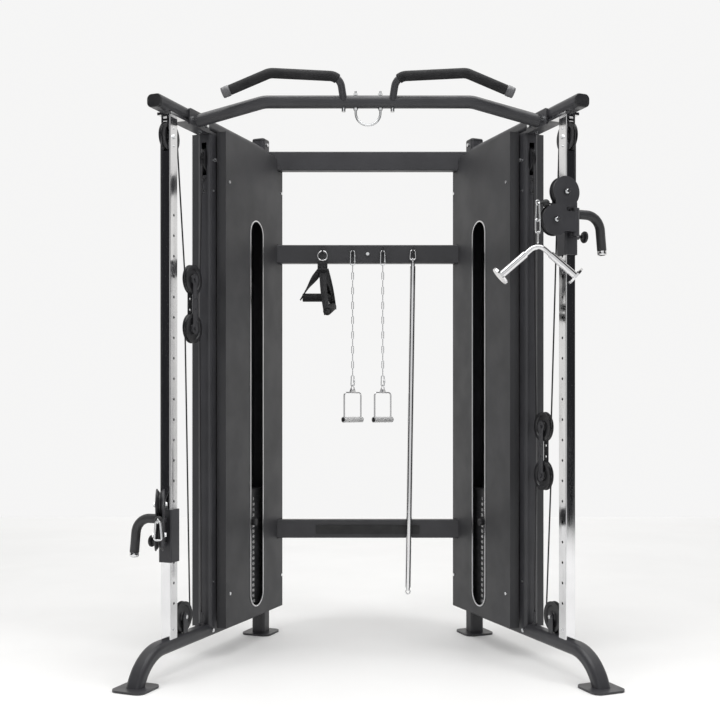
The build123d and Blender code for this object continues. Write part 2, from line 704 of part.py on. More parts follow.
def carriage(side):
    """Sleeve round the column with its swivel barrel, rear cable lug and bent handle tube."""
    z = CARRIAGE_Z[side]
    outer = round_box_tube(SLEEVE_WIDTH, SLEEVE_DEPTH, 6, z, z + SLEEVE_HEIGHT)
    bore = round_box_tube(
        COLUMN_WIDTH + 2 * SLEEVE_GAP, COLUMN_DEPTH + 2 * SLEEVE_GAP, 3, z, z + SLEEVE_HEIGHT
    )
    sleeve = Pos(0, COLUMN_Y, 0) * (outer - bore)
    front = COLUMN_Y - SLEEVE_DEPTH / 2
    for low, high in ((z + 62, z + 76), (z + 150, z + 164)):
        ear = block((-9, 9), (SWIVEL_Y, front), (low, high))
        ear += rod((0, SWIVEL_Y, low), (0, SWIVEL_Y, high), 15)
        sleeve += ear - rod((0, SWIVEL_Y, low), (0, SWIVEL_Y, high), 8)
    rear = COLUMN_Y + SLEEVE_DEPTH / 2
    sleeve += block((-9, 9), (rear, rear + 16), (z + LUG_RISE, z + LUG_RISE + 24))
    pin_height = z + PIN_RISE
    sleeve += rod_x(COLUMN_Y, pin_height, 11, -SLEEVE_WIDTH / 2 - FERRULE_LENGTH, -SLEEVE_WIDTH / 2)
    sleeve -= rod_x(COLUMN_Y, pin_height, 5.5, -SLEEVE_WIDTH / 2 - 25, -COLUMN_WIDTH / 2)
    sleeve += handle_rod(side, HANDLE_TUBE)
    return sleeve


def handle_points(side):
    """Centreline of the carriage handle: straight out, then down and a little outwards."""
    z = CARRIAGE_Z[side] + HANDLE_RISE
    wall = -SLEEVE_WIDTH / 2
    out = wall - HANDLE_OUT
    return [
        Vector(wall, COLUMN_Y, z),
        Vector(out, COLUMN_Y, z),
        Vector(out - HANDLE_LEAN, COLUMN_Y, z - HANDLE_DROP),
    ]


def handle_rod(side, radius):
    return bent_rod([tuple(point) for point in handle_points(side)], HANDLE_BEND, radius)


def carriage_grip(side):
    """Foam sleeve over the handle, clear of the sleeve's wall."""
    root, corner, end = handle_points(side)
    points = [root - Vector(6, 0, 0), corner, end + (corner - end).normalized() * 16]
    foam = bent_rod([tuple(point) for point in points], HANDLE_BEND, HANDLE_FOAM)
    return foam - handle_rod(side, HANDLE_TUBE)


def pop_pin(side):
    """Pull pin with a mushroom knob, drawn back so that its tip is just clear of the column."""
    z = CARRIAGE_Z[side] + PIN_RISE
    seat = -SLEEVE_WIDTH / 2 - FERRULE_LENGTH - PIN_TRAVEL
    shank = rod_x(COLUMN_Y, z, 4.8, seat - 8, -COLUMN_WIDTH / 2 - 0.4)
    knob = rod_x(COLUMN_Y, z, 9, seat - 12, seat - 1)
    cap = rod_x(COLUMN_Y, z, 22, seat - 24, seat - 8)
    return shank + knob + fillet(cap.edges(), 6)


def in_block_plane(side, shape):
    """Turns a shape from the block's neutral plane (y ahead is -y) about the swivel axis."""
    return Pos(0, SWIVEL_Y, 0) * Rot(0, 0, SWIVEL_TURN[side]) * Pos(0, -SWIVEL_Y, 0) * shape


def swivel_block(side):
    """Two cheek plates round the block pulleys, with the barrel that turns in the ears."""
    z = CARRIAGE_Z[side]
    upper = (SWIVEL_Y - UPPER_AHEAD, z + UPPER_RISE)
    lower = (SWIVEL_Y - LOWER_AHEAD, z + LOWER_RISE)
    barrel_low, barrel_high = z + 76.5, z + 149.5
    cheeks = []
    for low, high in ((-14, -10), (10, 14)):
        cheek = rod_x(*upper, 56, low, high) + rod_x(*lower, 56, low, high)
        cheek += block((low, high), (SWIVEL_Y - 60, SWIVEL_Y - 4), (barrel_low, barrel_high))
        cheek += block(
            (low, high), (SWIVEL_Y - 92, SWIVEL_Y - 47), (z + LOWER_RISE, z + UPPER_RISE)
        )
        cheeks.append(cheek)
    barrel = rod((0, SWIVEL_Y, barrel_low), (0, SWIVEL_Y, barrel_high), 15)
    barrel -= rod((0, SWIVEL_Y, barrel_low), (0, SWIVEL_Y, barrel_high), 8)
    body = cheeks[0] + cheeks[1] + barrel
    for spot in (upper, lower):
        body += axle(*spot, 10)
        for sign in (-1, 1):
            low, high = sorted((sign * 14, sign * 19))
            body += rod_x(*spot, 8, low, high)
    return in_block_plane(side, body)


def block_pulley(side, which):
    z = CARRIAGE_Z[side]
    spot = {
        "upper": (SWIVEL_Y - UPPER_AHEAD, z + UPPER_RISE),
        "lower": (SWIVEL_Y - LOWER_AHEAD, z + LOWER_RISE),
    }[which]
    return in_block_plane(side, at_unit(*spot, pulley(SMALL_RADIUS, SMALL_PITCH)))


def cable_end(side):
    """Rubber ball stop with the swaged ferrule and eye in front of it."""
    z = exit_height(side)
    ball = Pos(0, SWIVEL_Y - BALL_AHEAD, z) * Sphere(BALL_RADIUS)
    tip = SWIVEL_Y - BALL_AHEAD - BALL_RADIUS
    ball += rod((0, tip + 2, z), (0, tip - 12, z), 5)
    eye = Pos(0, tip - 19, z) * Rot(0, 90, 0) * Torus(EYE_RADIUS, EYE_WIRE)
    return in_block_plane(side, ball + eye)


# ---------------------------------------------------------------- accessories


def wire_loop(width, height, wire, centre, angle=0.0, taper=1.0):
    """Closed round-wire loop hanging in the (x, z) plane, turned by angle about z."""
    half, wide = height / 2, width / 2
    corners = [
        (-wide * taper, 0, half),
        (wide * taper, 0, half),
        (wide, 0, -half),
        (-wide, 0, -half),
    ]
    radii = 0.92 * min(wide, wide * taper)
    path = FilletPolyline(*corners, radius=radii, close=True)
    loop = sweep(Plane(origin=path @ 0, z_dir=path % 0) * Circle(wire), path=path)
    return Pos(*centre) * Rot(0, 0, angle) * loop


def eye_place(side):
    """Centre of the eye at the end of the long cable, in the machine frame."""
    ahead = BALL_AHEAD + BALL_RADIUS + 19
    at = placed(Pos(*block_point(side, ahead, exit_height(side))) * Sphere(1), side)
    return at.center()


def carabiner(side):
    """Snap hook hanging from the eye at the end of the cable."""
    at = eye_place(side)
    middle = (at.X, at.Y, clip_top(side) - CLIP_HEIGHT / 2)
    return wire_loop(CLIP_WIDTH, CLIP_HEIGHT, CLIP_WIRE, middle, block_turn(side), CLIP_TAPER)


def clip_top(side):
    """Height of the snap hook's upper wire, resting in the eye."""
    return exit_height(side) - EYE_RADIUS + EYE_WIRE + CLIP_WIRE + HANG_GAP


def block_turn(side):
    """Turn of the swivel block about z in the machine frame."""
    return (SWIVEL_TURN[side] - UNIT_ANGLE) * (1 if side == "left" else -1)


def v_bar():
    """Bent press-down bar with sleeves, end discs and the eye that it hangs by."""
    at = eye_place("right")
    link_top = clip_top("right") - CLIP_HEIGHT + CLIP_WIRE + LINK_WIRE + HANG_GAP
    link_low = link_top - LINK_HEIGHT
    eye_top = link_low + LINK_WIRE + EYE_WIRE + HANG_GAP
    apex = (at.X, at.Y, V_BAR_APEX)
    ends = [(at.X + sign * V_BAR_HALF, at.Y, V_BAR_APEX - V_BAR_DROP) for sign in (-1, 1)]
    bar = bent_rod([ends[0], apex, ends[1]], 40, V_BAR_ROD)
    for end in ends:
        direction = Vector(*apex) - Vector(*end)
        unit = direction.normalized()
        tip = Vector(*end)
        bar += rod(tuple(tip), tuple(tip + unit * 118), V_BAR_SLEEVE)
        bar += rod(tuple(tip - unit * 4), tuple(tip + unit * 4), V_BAR_DISC)
    eye_height = eye_top - V_BAR_APEX
    bar += wire_loop(
        2 * EYE_RADIUS, eye_height, EYE_WIRE, (at.X, at.Y, eye_top - eye_height / 2), 90
    )
    middle = (at.X, at.Y, (link_top + link_low) / 2)
    link = wire_loop(LINK_WIDTH, LINK_HEIGHT, LINK_WIRE, middle, block_turn("right") + 90)
    return [bar, link]


def hang_y():
    """Plane in front of the accessory bar where the accessories hang."""
    return REAR_POST_Y - BAR_DEPTH / 2 - 18


def chain_handle(x):
    """Snap hook, long-link chain and the quick link at its foot."""
    y = hang_y()
    pieces = [hook_clip(x, y, 66)]
    low = hook_clip_low(66)
    for n in range(CHAIN_LINKS):
        top = low + 3 + CHAIN_WIRE + HANG_GAP if n == 0 else low + 2 * CHAIN_WIRE + HANG_GAP
        low = top - CHAIN_LOOP
        turn = 90 if n % 2 == 0 else 0
        pieces.append(wire_loop(12, CHAIN_LOOP, CHAIN_WIRE, (x, y, (top + low) / 2), turn))
    top = low + CHAIN_WIRE + QUICK_WIRE + HANG_GAP
    low = top - QUICK_HEIGHT
    pieces.append(
        wire_loop(QUICK_WIDTH, QUICK_HEIGHT, QUICK_WIRE, (x, y, (top + low) / 2), 0, 0.8)
    )
    return pieces


def stirrup_hang():
    """Height of the lower end of a chain's quick link."""
    low = hook_clip_low(66)
    pitch = CHAIN_LOOP - 2 * CHAIN_WIRE - HANG_GAP
    chain_low = low + 3 + CHAIN_WIRE + HANG_GAP - CHAIN_LOOP - (CHAIN_LINKS - 1) * pitch
    return chain_low + CHAIN_WIRE + QUICK_WIRE + HANG_GAP - QUICK_HEIGHT


def hook_clip(x, y, height):
    """Snap hook laid over an accessory hook."""
    top = hook_clip_low(height) + height
    return wire_loop(CLIP_WIDTH, height, 3, (x, y, top - height / 2), 0, 0.75)


def hook_clip_low(height):
    """Height of a hung snap hook's lower wire."""
    return HOOK_Z + HOOK_RADIUS + 3 + HANG_GAP - height


def stirrup(x):
    """Wire frame with a pierced lug on top and a round hand grip across its foot."""
    y, hung_from = hang_y(), stirrup_hang()
    wide = STIRRUP_WIDTH / 2
    hole_z = hung_from - LUG_HOLE + QUICK_WIRE + 1
    shoulder = hole_z + LUG_HOLE + 5 - LUG_DROP
    foot = hung_from - STIRRUP_DROP
    corners = [(-wide, 0, foot), (-wide, 0, shoulder), (wide, 0, shoulder), (wide, 0, foot)]
    frame = bent_rod(corners, 14, STIRRUP_WIRE)
    outline = Polyline(
        (-LUG_HALF, shoulder), (LUG_HALF, shoulder), (0, shoulder + LUG_DROP + 6), close=True
    )
    plane = Plane(origin=(0, LUG_THICK / 2, 0), x_dir=(1, 0, 0), z_dir=(0, -1, 0))
    lug = extrude(plane * make_face(outline), LUG_THICK)
    lug -= block((-30, 30), (-5, 5), (shoulder + LUG_DROP, shoulder + LUG_DROP + 10))
    lug -= rod((0, -5, hole_z), (0, 5, hole_z), LUG_HOLE)
    grip = rod((-wide - 6, 0, foot), (wide + 6, 0, foot), ROLLER_RADIUS)
    return Pos(x, y, 0) * Rot(0, 0, STIRRUP_TURN) * (frame + lug + grip)


def strap_grips():
    """Ends of the two tube grips that hang from the first hook, relative to the hook's x."""
    y = hang_y()
    return [
        ((HOOK_X[0] - 24 - GRIP_HALF, y, 1455), (HOOK_X[0] - 24 + GRIP_HALF, y, 1455)),
        ((HOOK_X[0] + 23, y - 85, 1388), (HOOK_X[0] + 42, y + 34, 1420)),
    ]


def strap_handles():
    """Snap hook, the gathered webbing under it with its four legs, and the two tube grips."""
    x, y = HOOK_X[0], hang_y()
    top = hook_clip_low(58) - 3 - HANG_GAP
    gather = block((x - 18, x + 18), (y - 11, y + 11), (top - 44, top))
    web = gather
    grips = []
    for start, stop in strap_grips():
        a, b = Vector(*start), Vector(*stop)
        along = (b - a).normalized()
        grips.append(rod(tuple(a), tuple(b), GRIP_RADIUS))
        for end, way in ((a, -1), (b, 1)):
            foot = end + along * (way * (STRAP_THICK / 2 + HANG_GAP))
            web += strap_leg(Vector(x, y, top - 38), foot, along)
    return [hook_clip(x, y, 58), web, *grips]


def strap_leg(head, foot, along):
    """Flat leg of webbing that runs down to the end of a grip and covers it."""
    down = (foot - head).normalized()
    width = along.cross(down).normalized()
    plane = Plane(origin=foot + down * 14, x_dir=width, z_dir=head - foot)
    length = (foot - head).length + 14
    return extrude(plane * Rectangle(STRAP_WIDTH, STRAP_THICK), length)


def long_bar():
    """Straight bar with swivel eyes at both ends, hung upright from the last hook."""
    x, y = HOOK_X[3], hang_y()
    foot = (x - LONG_BAR_LEAN, y, LONG_BAR_LOW)
    head = (x, y, LONG_BAR_TOP)
    clip = hook_clip(x, y, 40)
    bar = rod(foot, head, 12.5)
    direction = (Vector(*head) - Vector(*foot)).normalized()
    for end, sign in ((Vector(*head), 1), (Vector(*foot), -1)):
        collar_end = end + direction * (sign * 12)
        bar += rod(tuple(end), tuple(collar_end), 9)
    eye_z = hook_clip_low(40) + 3 + 2.5 + HANG_GAP - EYE_RADIUS
    eye = Pos(x, y, eye_z) * Rot(0, 90, 0) * Torus(EYE_RADIUS, 2.5)
    eye += rod((x, y, LONG_BAR_TOP + 10), (x, y, eye_z - EYE_RADIUS + 1), 4)
    low_eye = Pos(x - LONG_BAR_LEAN, y, LONG_BAR_LOW - 20) * Rot(90, 0, 0) * Torus(9, 3)
    return [clip, bar + eye + low_eye]


# ---------------------------------------------------------------- fasteners


def hex_head(x, y, z, sign, radius=8.0, height=6.0):
    """Bolt head on a face across the unit; sign says which way the face looks."""
    plane = Plane(origin=(x, y, z), x_dir=(0, 1, 0), z_dir=(sign, 0, 0))
    return extrude(plane * RegularPolygon(radius, 6), height)


def front_head(x, y, z, radius=8.0, height=6.0):
    """Bolt head on a face that looks forward."""
    plane = Plane(origin=(x, y, z), x_dir=(1, 0, 0), z_dir=(0, -1, 0))
    return extrude(plane * RegularPolygon(radius, 6), height)


def dome(x, y, z, sign, radius=6.0):
    """Round screw head on a face across the unit."""
    return rod((x, y, z), (x + sign * 3.5, y, z), radius)


def fasteners():
    heads = []
    half_column, half_upright = COLUMN_WIDTH / 2, UPRIGHT_WIDTH / 2
    for sign in (-1, 1):
        heads.append(hex_head(sign * half_column, COLUMN_Y, COLUMN_PULLEY_Z, sign))
        heads.append(hex_head(sign * half_upright, UPRIGHT_Y, UPRIGHT_PULLEY_Z, sign, 8, 5))
        heads.append(hex_head(sign * 15, BASE_PULLEY_Y, BASE_PULLEY_Z, sign))
        heads.append(hex_head(sign * 15, STACK_PULLEY_Y, UPRIGHT_PULLEY_Z, sign))
        heads.append(hex_head(sign * RAIL_WIDTH / 2, 474, RAIL_Z, sign))
    heads.append(dome(half_column, COLUMN_Y, 165, 1, 5))
    heads.append(dome(half_column, COLUMN_Y, COLUMN_PULLEY_Z + 30, 1, 3))
    heads.append(dome(half_column, COLUMN_Y, COLUMN_PULLEY_Z - 34, 1, 3))
    for z in (1870, 1826):
        heads.append(front_head(0, UPRIGHT_Y - UPRIGHT_DEPTH / 2, z))
    for y in (BRACKET_Y - 49, BRACKET_Y + 49):
        heads.append(hex_head(BRACKET_FACE + BRACKET_THICK, y, 2068, 1, 9, 7))
    for z in (2120, 240):
        heads.append(hex_head(REAR_SIZE / 2, REAR_Y, z, 1, 8, 5))
    heads.append(Pos(0, 430, POST_TOP - 6) * extrude(RegularPolygon(9, 6), 6))
    for y, z in ((527, 1870), (986, 1915), (530, 247), (986, 250)):
        for sign in (-1, 1):
            heads.append(dome(sign * COVER_FACE, y, z, sign))
    for z in (1950, 1830, 300):
        heads.append(dome(half_upright, 482, z, 1, 4))
    solids = [piece for head in heads for piece in pair(head)]
    bar_face, bar_middle = REAR_POST_Y - BAR_DEPTH / 2, sum(ACCESSORY_BAR) / 2
    solids.append(rod((0, bar_face - 4, bar_middle), (0, bar_face, bar_middle), 7))
    return solids + acorn_nuts()


def acorn_nuts():
    """Nuts under the pull-up bar that hold its raised grips."""
    tube = rod_x(PULL_Y, PULL_Z, PULL_RADIUS, -GRIP_ROOT_X - 40, GRIP_ROOT_X + 40)
    low = PULL_Z - PULL_RADIUS - 14
    return [
        rod((x, PULL_Y, low), (x, PULL_Y, low + 14), 8) - tube for x in (-GRIP_ROOT_X, GRIP_ROOT_X)
    ]


def write_frame():
    write("base_frames", pair(base_frame()))
    write("rear_posts", pair(rear_post()))
    write("front_uprights", pair(front_upright()))
    write("guide_columns", pair(guide_column()))
    write("top_beams", pair(top_beam()))
    write("tube_end_caps", end_caps())
    write("crossbars", crossbar(*TOP_BAR), crossbar(*LOWER_BAR), lower_panel())
    write("accessory_crossbar", accessory_crossbar())
    write("inner_covers", pair(inner_cover()))
    write("outer_covers", pair(cover(-1)))
    write("slot_trims", pair(slot_trim()))
    write("pull_up_bar", pull_up_bar())
    write("pull_up_foam_grips", foam_grip(-1), foam_grip(1))
    write("hanging_ring", hanging_ring())
    write("fasteners", fasteners())
    write("pulley_brackets", pulley_brackets())
    write("guide_rods_and_bumpers", guide_rods(), stack_bumpers())
    write("resting_weight_plates", [piece for plate in resting_plates() for piece in pair(plate)])


def write_side(side):
    """The moving pieces of one side unit and its two cables."""
    def put(name, shape):
        shapes = shape if isinstance(shape, list) else [shape]
        write(f"{side}_{name}", [placed(piece, side) for piece in shapes])

    big = pulley(PULLEY_RADIUS, PULLEY_PITCH)
    put("carriage", carriage(side))
    put("carriage_grip", carriage_grip(side))
    put("pop_pin", pop_pin(side))
    put("swivel_block", swivel_block(side))
    for which in ("upper", "lower"):
        put(f"{which}_block_pulley", block_pulley(side, which))
    put("cable_end", cable_end(side))
    put("floating_block", floating_block(side))
    put("floating_upper_pulley", at_unit(FLOAT_Y, float_z(side), big))
    put("floating_lower_pulley", at_unit(FLOAT_Y, float_z(side) - FLOAT_SPACING, big))
    put("column_pulley", at_unit(COLUMN_Y, COLUMN_PULLEY_Z, big))
    put("upright_pulley", at_unit(UPRIGHT_Y, UPRIGHT_PULLEY_Z, big))
    put("stack_pulley", at_unit(STACK_PULLEY_Y, UPRIGHT_PULLEY_Z, big))
    put("base_pulley", at_unit(BASE_PULLEY_Y, BASE_PULLEY_Z, big))
    put("lifted_weights", lifted_weights())
    put("selector_pin", selector_pin())
    write(f"{side}_carabiner", carabiner(side))


write_frame()
for which_side in SIDES:
    write_side(which_side)
cables = [placed(cable(side), side) for side in SIDES for cable in (long_cable, short_cable)]
write("cables", *cables)
write("v_bar", v_bar())
write("strap_handles", strap_handles())
for which_side, hook_x in zip(SIDES, HOOK_X[1:3]):
    write(f"{which_side}_handle_chain", chain_handle(hook_x))
    write(f"{which_side}_stirrup", stirrup(hook_x))
write("long_bar", long_bar())
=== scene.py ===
"""Looks of the functional trainer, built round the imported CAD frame.

Metres, +Z up. Each side unit has its own directions: across points to the middle of the machine,
back runs along the unit, and a place on the unit is (across, back, height).
"""

import json
import math

import bpy
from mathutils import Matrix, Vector


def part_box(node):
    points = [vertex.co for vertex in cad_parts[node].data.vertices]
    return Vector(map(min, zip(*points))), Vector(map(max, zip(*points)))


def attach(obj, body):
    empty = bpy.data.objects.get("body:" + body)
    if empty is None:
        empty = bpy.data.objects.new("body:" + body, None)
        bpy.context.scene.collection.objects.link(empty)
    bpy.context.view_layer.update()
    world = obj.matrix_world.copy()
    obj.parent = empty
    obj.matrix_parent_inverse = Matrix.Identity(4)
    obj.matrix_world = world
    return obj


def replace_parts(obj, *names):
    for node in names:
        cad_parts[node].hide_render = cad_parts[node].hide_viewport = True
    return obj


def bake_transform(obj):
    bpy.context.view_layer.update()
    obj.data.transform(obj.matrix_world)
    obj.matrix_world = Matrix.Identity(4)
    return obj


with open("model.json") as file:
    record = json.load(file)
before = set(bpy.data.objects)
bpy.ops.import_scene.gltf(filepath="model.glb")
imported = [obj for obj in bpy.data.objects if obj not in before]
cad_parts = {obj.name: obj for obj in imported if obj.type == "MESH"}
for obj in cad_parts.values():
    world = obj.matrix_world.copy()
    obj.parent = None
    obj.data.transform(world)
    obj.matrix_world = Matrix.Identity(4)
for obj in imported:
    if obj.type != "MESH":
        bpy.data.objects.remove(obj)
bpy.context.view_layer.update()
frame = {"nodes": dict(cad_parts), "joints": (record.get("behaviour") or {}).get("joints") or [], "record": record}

NODES = frame["nodes"]
JOINTS = {joint["name"]: joint for joint in frame["joints"]}
SIDES = ("left", "right")
UP = Vector((0, 0, 1))

CABLE = 0.003
PULLEY_PITCH = 0.053
SMALL_PITCH = 0.047
LUG_RISE = 0.10
ANCHOR = (0.440, 0.187)

# ---------------------------------------------------------------- materials


def nodes_of(name, base, rough, metal=0.0):
    """A new material with its shader node, ready for procedural detail."""
    material = bpy.data.materials.new(name)
    material.use_nodes = True
    tree = material.node_tree
    shader = tree.nodes["Principled BSDF"]
    shader.inputs["Base Color"].default_value = (*base, 1)
    shader.inputs["Roughness"].default_value = rough
    shader.inputs["Metallic"].default_value = metal
    return material, tree, shader


def noise(tree, scale, detail, stretch=(1, 1, 1)):
    """Noise in object coordinates, scaled per metre."""
    place = tree.nodes.new("ShaderNodeTexCoord")
    mapping = tree.nodes.new("ShaderNodeMapping")
    mapping.inputs["Scale"].default_value = stretch
    texture = tree.nodes.new("ShaderNodeTexNoise")
    texture.inputs["Scale"].default_value = scale
    texture.inputs["Detail"].default_value = detail
    tree.links.new(place.outputs["Object"], mapping.inputs["Vector"])
    tree.links.new(mapping.outputs["Vector"], texture.inputs["Vector"])
    return texture.outputs["Fac"]


def ramp(tree, value, low, high, start=0.35, stop=0.65):
    """Maps a value between two colours or two greys."""
    node = tree.nodes.new("ShaderNodeValToRGB")
    node.color_ramp.elements[0].position = start
    node.color_ramp.elements[1].position = stop
    for element, colour in zip(node.color_ramp.elements, (low, high)):
        rgb = colour if isinstance(colour, tuple) else (colour,) * 3
        element.color = (*rgb, 1)
    tree.links.new(value, node.inputs["Fac"])
    return node.outputs["Color"]


def bump(tree, shader, height, strength, distance):
    node = tree.nodes.new("ShaderNodeBump")
    node.inputs["Strength"].default_value = strength
    node.inputs["Distance"].default_value = distance
    tree.links.new(height, node.inputs["Height"])
    tree.links.new(node.outputs["Normal"], shader.inputs["Normal"])


def mottled(name, low, high, rough, grain=900.0, depth=0.00012, patch=7.0):
    """Paint, plastic or iron: patchy colour, uneven gloss and a fine grain."""
    material, tree, shader = nodes_of(name, low, rough[0])
    tree.links.new(ramp(tree, noise(tree, patch, 4), low, high), shader.inputs["Base Color"])
    gloss = ramp(tree, noise(tree, patch * 3.1, 5), rough[0], rough[1])
    tree.links.new(gloss, shader.inputs["Roughness"])
    bump(tree, shader, noise(tree, grain, 2), 0.4, depth)
    return material


def polished(name, base, rough):
    """Plated metal with faint drawn streaks and smudges in its gloss."""
    material, tree, shader = nodes_of(name, base, rough[0], 1.0)
    gloss = ramp(tree, noise(tree, 1.0, 6, (60, 60, 3)), rough[0], rough[1])
    tree.links.new(gloss, shader.inputs["Roughness"])
    tint = tuple(0.9 * c for c in base)
    tree.links.new(ramp(tree, noise(tree, 9.0, 4), tint, base), shader.inputs["Base Color"])
    bump(tree, shader, noise(tree, 500, 2, (1, 1, 0.05)), 0.05, 0.00004)
    return material


def cellular(name, low, high, rough, cell, depth):
    """Closed-cell foam or grained rubber: small round pits under a fine noise."""
    material, tree, shader = nodes_of(name, low, rough)
    place = tree.nodes.new("ShaderNodeTexCoord")
    cells = tree.nodes.new("ShaderNodeTexVoronoi")
    cells.inputs["Scale"].default_value = 1 / cell
    tree.links.new(place.outputs["Object"], cells.inputs["Vector"])
    tree.links.new(ramp(tree, noise(tree, 25, 5), low, high), shader.inputs["Base Color"])
    bump(tree, shader, cells.outputs["Distance"], 0.5, depth)
    return material


def woven(name, low, high):
    """Nylon webbing: a fine diagonal weave."""
    material, tree, shader = nodes_of(name, low, 0.75)
    place = tree.nodes.new("ShaderNodeTexCoord")
    waves = []
    for direction, spin in (("X", 0.5), ("Z", -0.5)):
        mapping = tree.nodes.new("ShaderNodeMapping")
        mapping.inputs["Rotation"].default_value = (0, spin, 0)
        wave = tree.nodes.new("ShaderNodeTexWave")
        wave.bands_direction = direction
        wave.inputs["Scale"].default_value = 180
        wave.inputs["Distortion"].default_value = 0.4
        tree.links.new(place.outputs["Object"], mapping.inputs["Vector"])
        tree.links.new(mapping.outputs["Vector"], wave.inputs["Vector"])
        waves.append(wave.outputs["Fac"])
    weave = tree.nodes.new("ShaderNodeMath")
    weave.operation = "MULTIPLY"
    tree.links.new(waves[0], weave.inputs[0])
    tree.links.new(waves[1], weave.inputs[1])
    colour = ramp(tree, weave.outputs["Value"], low, high, 0.0, 0.8)
    tree.links.new(colour, shader.inputs["Base Color"])
    bump(tree, shader, weave.outputs["Value"], 0.8, 0.0006)
    return material


PAINT = mottled(
    "frame_powder_coat", (0.026, 0.026, 0.029), (0.034, 0.034, 0.038), (0.36, 0.46))
SHEET = mottled(
    "cover_powder_coat", (0.030, 0.030, 0.032), (0.037, 0.037, 0.040), (0.46, 0.56),
    grain=1100.0, patch=3.0)
PLASTIC = mottled(
    "black_nylon", (0.010, 0.010, 0.011), (0.016, 0.016, 0.018), (0.34, 0.5),
    grain=1500.0, depth=0.00006)
IRON = mottled(
    "stack_paint", (0.012, 0.012, 0.013), (0.022, 0.022, 0.024), (0.4, 0.6),
    grain=420.0, depth=0.0003, patch=20)
COAT = mottled(
    "cable_coat", (0.010, 0.010, 0.011), (0.018, 0.018, 0.020), (0.3, 0.42),
    grain=700.0, depth=0.0002)
CHROME = polished("chrome", (0.80, 0.80, 0.81), (0.05, 0.14))
ZINC = polished("bright_zinc", (0.78, 0.79, 0.80), (0.16, 0.32))
TRIM = polished("satin_aluminium", (0.80, 0.80, 0.81), (0.25, 0.4))
STEEL = polished("ground_steel", (0.55, 0.55, 0.56), (0.2, 0.35))
ROLLER_GREY = mottled(
    "roller_plastic", (0.52, 0.52, 0.52), (0.60, 0.60, 0.60), (0.35, 0.5),
    grain=1300.0, depth=0.00006)
CAP_GREY = mottled(
    "grip_cap_grey", (0.10, 0.10, 0.105), (0.14, 0.14, 0.145), (0.3, 0.42),
    grain=1300.0, depth=0.00006)
VINYL = mottled(
    "grip_vinyl", (0.020, 0.020, 0.022), (0.030, 0.030, 0.032), (0.42, 0.55),
    grain=1200.0, depth=0.0001)
FOAM = cellular(
    "closed_cell_foam", (0.008, 0.008, 0.009), (0.017, 0.017, 0.018), 0.82, 0.0011, 0.0004)
RUBBER = cellular(
    "moulded_rubber", (0.012, 0.012, 0.013), (0.022, 0.022, 0.023), 0.6, 0.0008, 0.0002)
WEBBING = woven("nylon_webbing", (0.008, 0.008, 0.009), (0.03, 0.03, 0.033))
INK = mottled(
    "white_ink", (0.62, 0.62, 0.62), (0.72, 0.72, 0.72), (0.5, 0.6), grain=900.0, depth=0.00003)

SLOT_MATERIAL = {
    "frame_paint": PAINT, "cover_paint": SHEET, "chrome": CHROME, "zinc": ZINC,
    "edge_trim": TRIM, "black_plastic": PLASTIC, "rubber": RUBBER, "foam": FOAM,
    "cable": COAT, "weight_iron": IRON, "webbing": WEBBING,
}


def dress_cad_nodes():
    """Every carried-over CAD node takes its slot's material."""
    for part in frame["record"]["subparts"]:
        data = NODES[part["node"]].data
        data.materials.clear()
        data.materials.append(SLOT_MATERIAL[part["material_slot"]])


def paint_faces(node, material, chosen):
    """Gives a second material to the faces of a CAD node whose corners all pass a test."""
    data = NODES[node].data
    data.materials.append(material)
    index = len(data.materials) - 1
    for face in data.polygons:
        if all(chosen(data.vertices[v].co) for v in face.vertices):
            face.material_index = index


dress_cad_nodes()

# ---------------------------------------------------------------- camera, light and floor

HORIZON = 0.985
WALL_BRIGHTNESS = 0.91
camera = bpy.data.objects.new("camera", bpy.data.cameras.new("camera"))
camera.data.lens = 50
camera.data.sensor_width = 36
camera.data.shift_x = -0.0068
camera.data.shift_y = 0.0646
camera.location = (-0.012, -3.9215, HORIZON)
camera.rotation_euler = (math.radians(90), 0, 0)
bpy.context.scene.collection.objects.link(camera)
bpy.context.scene.camera = camera


def softbox(name, place, aim, size, power, mirrored):
    """Area light; only a mirrored one shows in the chrome."""
    light = bpy.data.lights.new(name, "AREA")
    light.shape = "RECTANGLE"
    light.size, light.size_y = size
    light.energy = power
    lamp = bpy.data.objects.new(name, light)
    lamp.location = place
    lamp.rotation_euler = (Vector(aim) - Vector(place)).to_track_quat("-Z", "Y").to_euler()
    lamp.visible_glossy = mirrored
    bpy.context.scene.collection.objects.link(lamp)


softbox("top_light", (0, -0.6, 4.2), (0, 0, 0.8), (4.0, 3.0), 110, True)
softbox("left_light", (-3.6, -2.2, 2.4), (0, 0, 1.0), (1.6, 2.6), 60, False)
softbox("right_light", (3.6, -2.2, 2.4), (0, 0, 1.0), (1.6, 2.6), 60, False)


def choose(tree, factor, usual, special):
    """Colour that changes from the usual one to a special one for a kind of ray."""
    node = tree.nodes.new("ShaderNodeMix")
    node.data_type = "RGBA"
    factor_in = [socket for socket in node.inputs if socket.type == "VALUE"][0]
    first, second = [socket for socket in node.inputs if socket.type == "RGBA"]
    tree.links.new(factor, factor_in)
    tree.links.new(usual, first)
    if isinstance(special, tuple):
        second.default_value = special
    else:
        tree.links.new(special, second)
    return [socket for socket in node.outputs if socket.type == "RGBA"][0]


